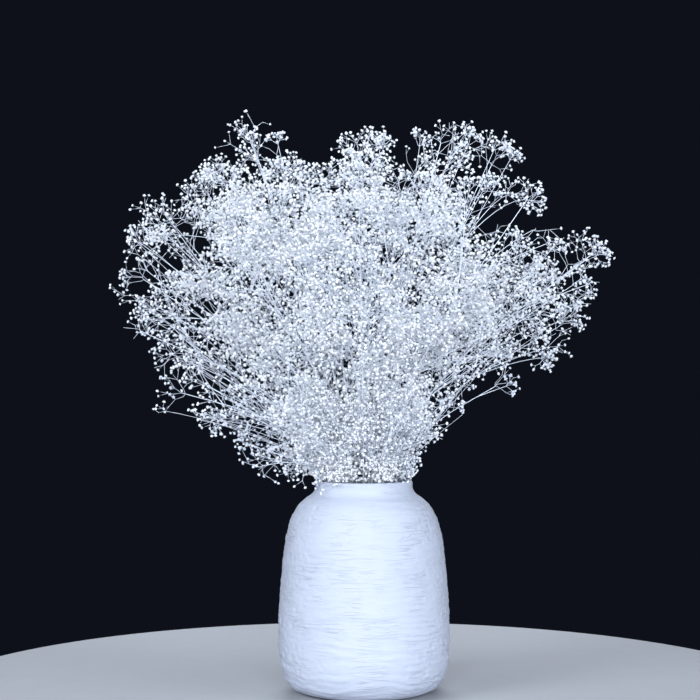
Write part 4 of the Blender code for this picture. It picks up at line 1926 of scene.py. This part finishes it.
@dataclass(frozen=True)
class Relief:
    """Brushed grooves all round the vase and rough pits at its sides, stronger low down.

    Each kind of streak is given by how often it varies across and up, and by a shift up the noise.
    """

    sways: tuple = ((22, 0.006), (55, 0.0025))
    groove_streaks: tuple = (16, 170, 0)
    fine_streaks: tuple = (30, 380, 7)
    groove_sharpness: float = 2.6
    fine_share: float = 0.35
    worn_scale: float = 18
    worn_shift: tuple = (3, 5, 9)
    least_worn: float = 0.35
    pit_scale: float = 260
    least_pits: float = 0.1
    groove_depth: float = 0.0012
    pit_depth: float = 0.0024
    # How strongly grooves get painted shade; pits get it in full.
    groove_shade_weight: float = 0.8
    foot_height: float = 0.0015
    foot_fade: float = 0.004
    collar_height: float = 0.196
    collar_fade: float = 0.010
    low_height: float = 0.09
    low_fade: float = 0.05
    upper_share: float = 0.65

    def streaks(self, point: Vector, height: float, kind: tuple) -> float:
        """Noise that is drawn out round the vase, from -1 to 1."""
        across, up, shift = kind
        return noise.noise(Vector((point.x * across, point.y * across, height * up + shift)))

    def cut(self, point: Vector) -> tuple[float, float]:
        """How deep the clay is cut at a point of the outer side.

        Args:
            point: The point, before the cut.

        Returns:
            The depth in metres, and how much painted shade it gets in grooves and pits, from 0 to 1.
        """
        height = point.z + sum(noise.noise(point * scale) * size for scale, size in self.sways)
        ridge = 1 - min(1.0, abs(self.streaks(point, height, self.groove_streaks)) * self.groove_sharpness)
        fine = max(0.0, self.streaks(point, height, self.fine_streaks))
        worn = HALF + HALF * noise.noise(point * self.worn_scale + Vector(self.worn_shift))
        line = ridge * (self.least_worn + (1 - self.least_worn) * worn) + self.fine_share * fine
        side = abs(math.cos(math.atan2(point.y, point.x)))
        pits = max(0.0, noise.noise(point * self.pit_scale))
        rough = (self.least_pits + (1 - self.least_pits) * side * side) * pits
        depth = self.groove_depth * line + self.pit_depth * rough
        return depth, min(1.0, line * self.groove_shade_weight + rough)

    def share(self, height: float) -> float:
        """How strong the relief is at a height: none on the collar and the foot.

        Args:
            height: Height above the base.

        Returns:
            The strength, from 0 to 1.
        """
        over_foot = clamped((height - self.foot_height) / self.foot_fade)
        under_collar = clamped((self.collar_height - height) / self.collar_fade)
        low = clamped((self.low_height - height) / self.low_fade)
        return over_foot * under_collar * (self.upper_share + (1 - self.upper_share) * low)


@dataclass
class Vase:
    """The vase, turned from its section, with its relief cut into its outer side."""

    form: VaseForm = field(default_factory=VaseForm)
    relief: Relief = field(default_factory=Relief)
    turns: int = 320
    row_height: float = 0.0014
    wall_reach: float = 0.002
    weld: float = 0.00001

    def outer_line(self) -> list[Vector]:
        """Outer side as a smooth line of close points, from the lip down to the middle of the base.

        Returns:
            The points.
        """
        points = [Vector((radius, 0, height)) for radius, height in self.form.outer_side]
        line = [points[0]]
        for i in range(len(points) - 2):
            before, start, end, after = points[max(i - 1, 0)], points[i], points[i + 1], points[i + 2]
            reach = (end - start).length
            steps = max(2, round(reach / self.row_height))
            pull_out = (end - before).normalized() * reach / 3
            pull_in = (after - start).normalized() * reach / 3
            for step in range(1, steps + 1):
                line.append(arched(start, start + pull_out, end - pull_in, end, step / steps))
        return line + [points[-1]]

    def build(self, finish: bpy.types.Material) -> bpy.types.Object:
        """Makes the vase a piece that stands for its node.

        Args:
            finish: Material of the vase.

        Returns:
            The piece.
        """
        bm = bmesh.new()
        groove_shade_layer = bm.verts.layers.float.new("groove_shade")
        inside = self.form.inner_side + self.form.lip
        inner = [Vector((radius, 0, height)) for radius, height in inside]
        line = [bm.verts.new(point) for point in inner + self.outer_line()]
        edges = [bm.edges.new(pair) for pair in zip(line, line[1:])]
        bmesh.ops.spin(
            bm, geom=line + edges, cent=(0, 0, 0), axis=UP, angle=FULL_TURN, steps=self.turns,
            use_merge=True)
        bmesh.ops.remove_doubles(bm, verts=bm.verts[:], dist=self.weld)
        bmesh.ops.recalc_face_normals(bm, faces=bm.faces[:])
        bm.normal_update()
        for vert in bm.verts:
            across = math.hypot(vert.co.x, vert.co.y)
            if across > self.form.radius_at(vert.co.z) - self.wall_reach:
                depth, groove_shade = self.relief.cut(vert.co)
                share = self.relief.share(vert.co.z)
                # Painted shade in the grooves and pits, kept at each corner for the material.
                vert[groove_shade_layer] = groove_shade * share
                vert.co -= vert.normal * depth * share
        for face in bm.faces:
            face.smooth = True
        piece = add_solid("vase_body", bm, [finish])
        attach(piece, BODY)
        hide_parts("vase")
        return piece


# The studio

@dataclass(frozen=True)
class Lamp:
    """A soft area light that faces the bunch."""

    name: str
    place: tuple
    size: float
    power: float
    colour: tuple = (1.0, 1.0, 1.0)


@dataclass(frozen=True)
class Studio:
    """A pale floor, soft lights, a dark room and the photograph's camera."""

    floor_radius: float = 0.45
    floor_drop: float = 0.0003
    floor_sides: int = 128
    lens: float = 92.57
    sensor: float = 36.0
    aim: tuple = (0.0, 0.0, 0.33)
    room_colour: Colour = (0.0044, 0.0056, 0.0097, 1.0)
    lamps: tuple = (
        Lamp("key", (-1.50, -1.25, 1.05), 0.9, 28.0, (0.84, 0.90, 1.0)),
        Lamp("front", (0.10, -2.3, 0.55), 1.6, 62.0, (0.84, 0.90, 1.0)),
        Lamp("fill", (1.60, -1.10, 0.60), 1.0, 17.0, (0.82, 0.88, 1.0)),
        Lamp("top", (0.1, -0.1, 1.6), 0.8, 7.0, (0.82, 0.90, 1.0)),
        Lamp("back", (0.0, 1.5, 0.9), 1.2, 18.0, (0.82, 0.89, 1.0)),
    )

    def add_floor(self, finish: bpy.types.Material) -> None:
        """Adds the round floor.

        Args:
            finish: Material of the floor.
        """
        bm = bmesh.new()
        bmesh.ops.create_circle(bm, cap_ends=True, segments=self.floor_sides, radius=self.floor_radius)
        bmesh.ops.translate(bm, verts=bm.verts[:], vec=UP * -self.floor_drop)
        bmesh.ops.recalc_face_normals(bm, faces=bm.faces[:])
        floor = add_solid("floor", bm, [finish])

    def add_lamp(self, lamp: Lamp) -> None:
        """Adds one light.

        Args:
            lamp: The light.
        """
        light = bpy.data.lights.new(lamp.name, "AREA")
        light.size = lamp.size
        light.energy = lamp.power
        light.color = lamp.colour
        holder = add_object(lamp.name, light)
        holder.location = lamp.place
        holder.rotation_euler = (Vector(self.aim) - Vector(lamp.place)).to_track_quat("-Z", "Y").to_euler()
        holder.visible_camera = False

    def add_camera(self) -> None:
        """Adds the level camera that the photograph was taken with."""
        camera = bpy.data.cameras.new("camera")
        camera.lens = self.lens
        camera.sensor_width = self.sensor
        holder = add_object("camera", camera)
        holder.location = EYE
        holder.rotation_euler = (math.pi / 2, 0, 0)
        bpy.context.scene.camera = holder

    def set_room(self) -> None:
        """Makes the room behind the bunch dark, and shows whites as they are."""
        world = bpy.data.worlds.new("dark_room")
        world.use_nodes = True
        world.node_tree.nodes["Background"].inputs["Color"].default_value = self.room_colour
        bpy.context.scene.world = world
        bpy.context.scene.view_settings.view_transform = "Standard"

    def build(self) -> None:
        """Sets up the whole studio."""
        self.add_camera()
        self.add_floor(FloorFinish().material())
        self.set_room()
        for lamp in self.lamps:
            self.add_lamp(lamp)


def report(piece: bpy.types.Object) -> None:
    """Logs a piece's name and number of faces."""
    LOG.info("%s: %d faces", piece.name, len(piece.data.polygons))


def main() -> None:
    """Builds the studio, the vase and the sprays."""
    logging.basicConfig(level=logging.INFO, format="%(message)s")
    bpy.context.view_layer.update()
    Studio().build()
    report(Vase().build(CeramicFinish().material()))
    finishes = [PetalFinish().material(), StalkFinish().material()]
    floret = FloretForm()
    shapes = {
        "single": [floret.shape(number, False) for number in range(floret.variants)],
        "double": [floret.shape(number, True) for number in range(floret.variants)],
        "bud": BudForm().shape(),
        "stalk": StalkForm("stalk", foot_radius=0.00024, tip_radius=0.00020).shape(),
        "thread": StalkForm("thread", foot_radius=0.00030, tip_radius=0.0).shape(),
    }
    florets = 0
    stems = Bunch().grow()
    ExtraShoots().share_out(stems)
    Strands().share_out(stems)
    for number, stem in enumerate(stems, start=1):
        spray = Spray(stem, number, shapes)
        report(spray.build(finishes))
        florets += spray.florets
    LOG.info("florets: %d", florets)


if __name__ == "__main__":
    main()
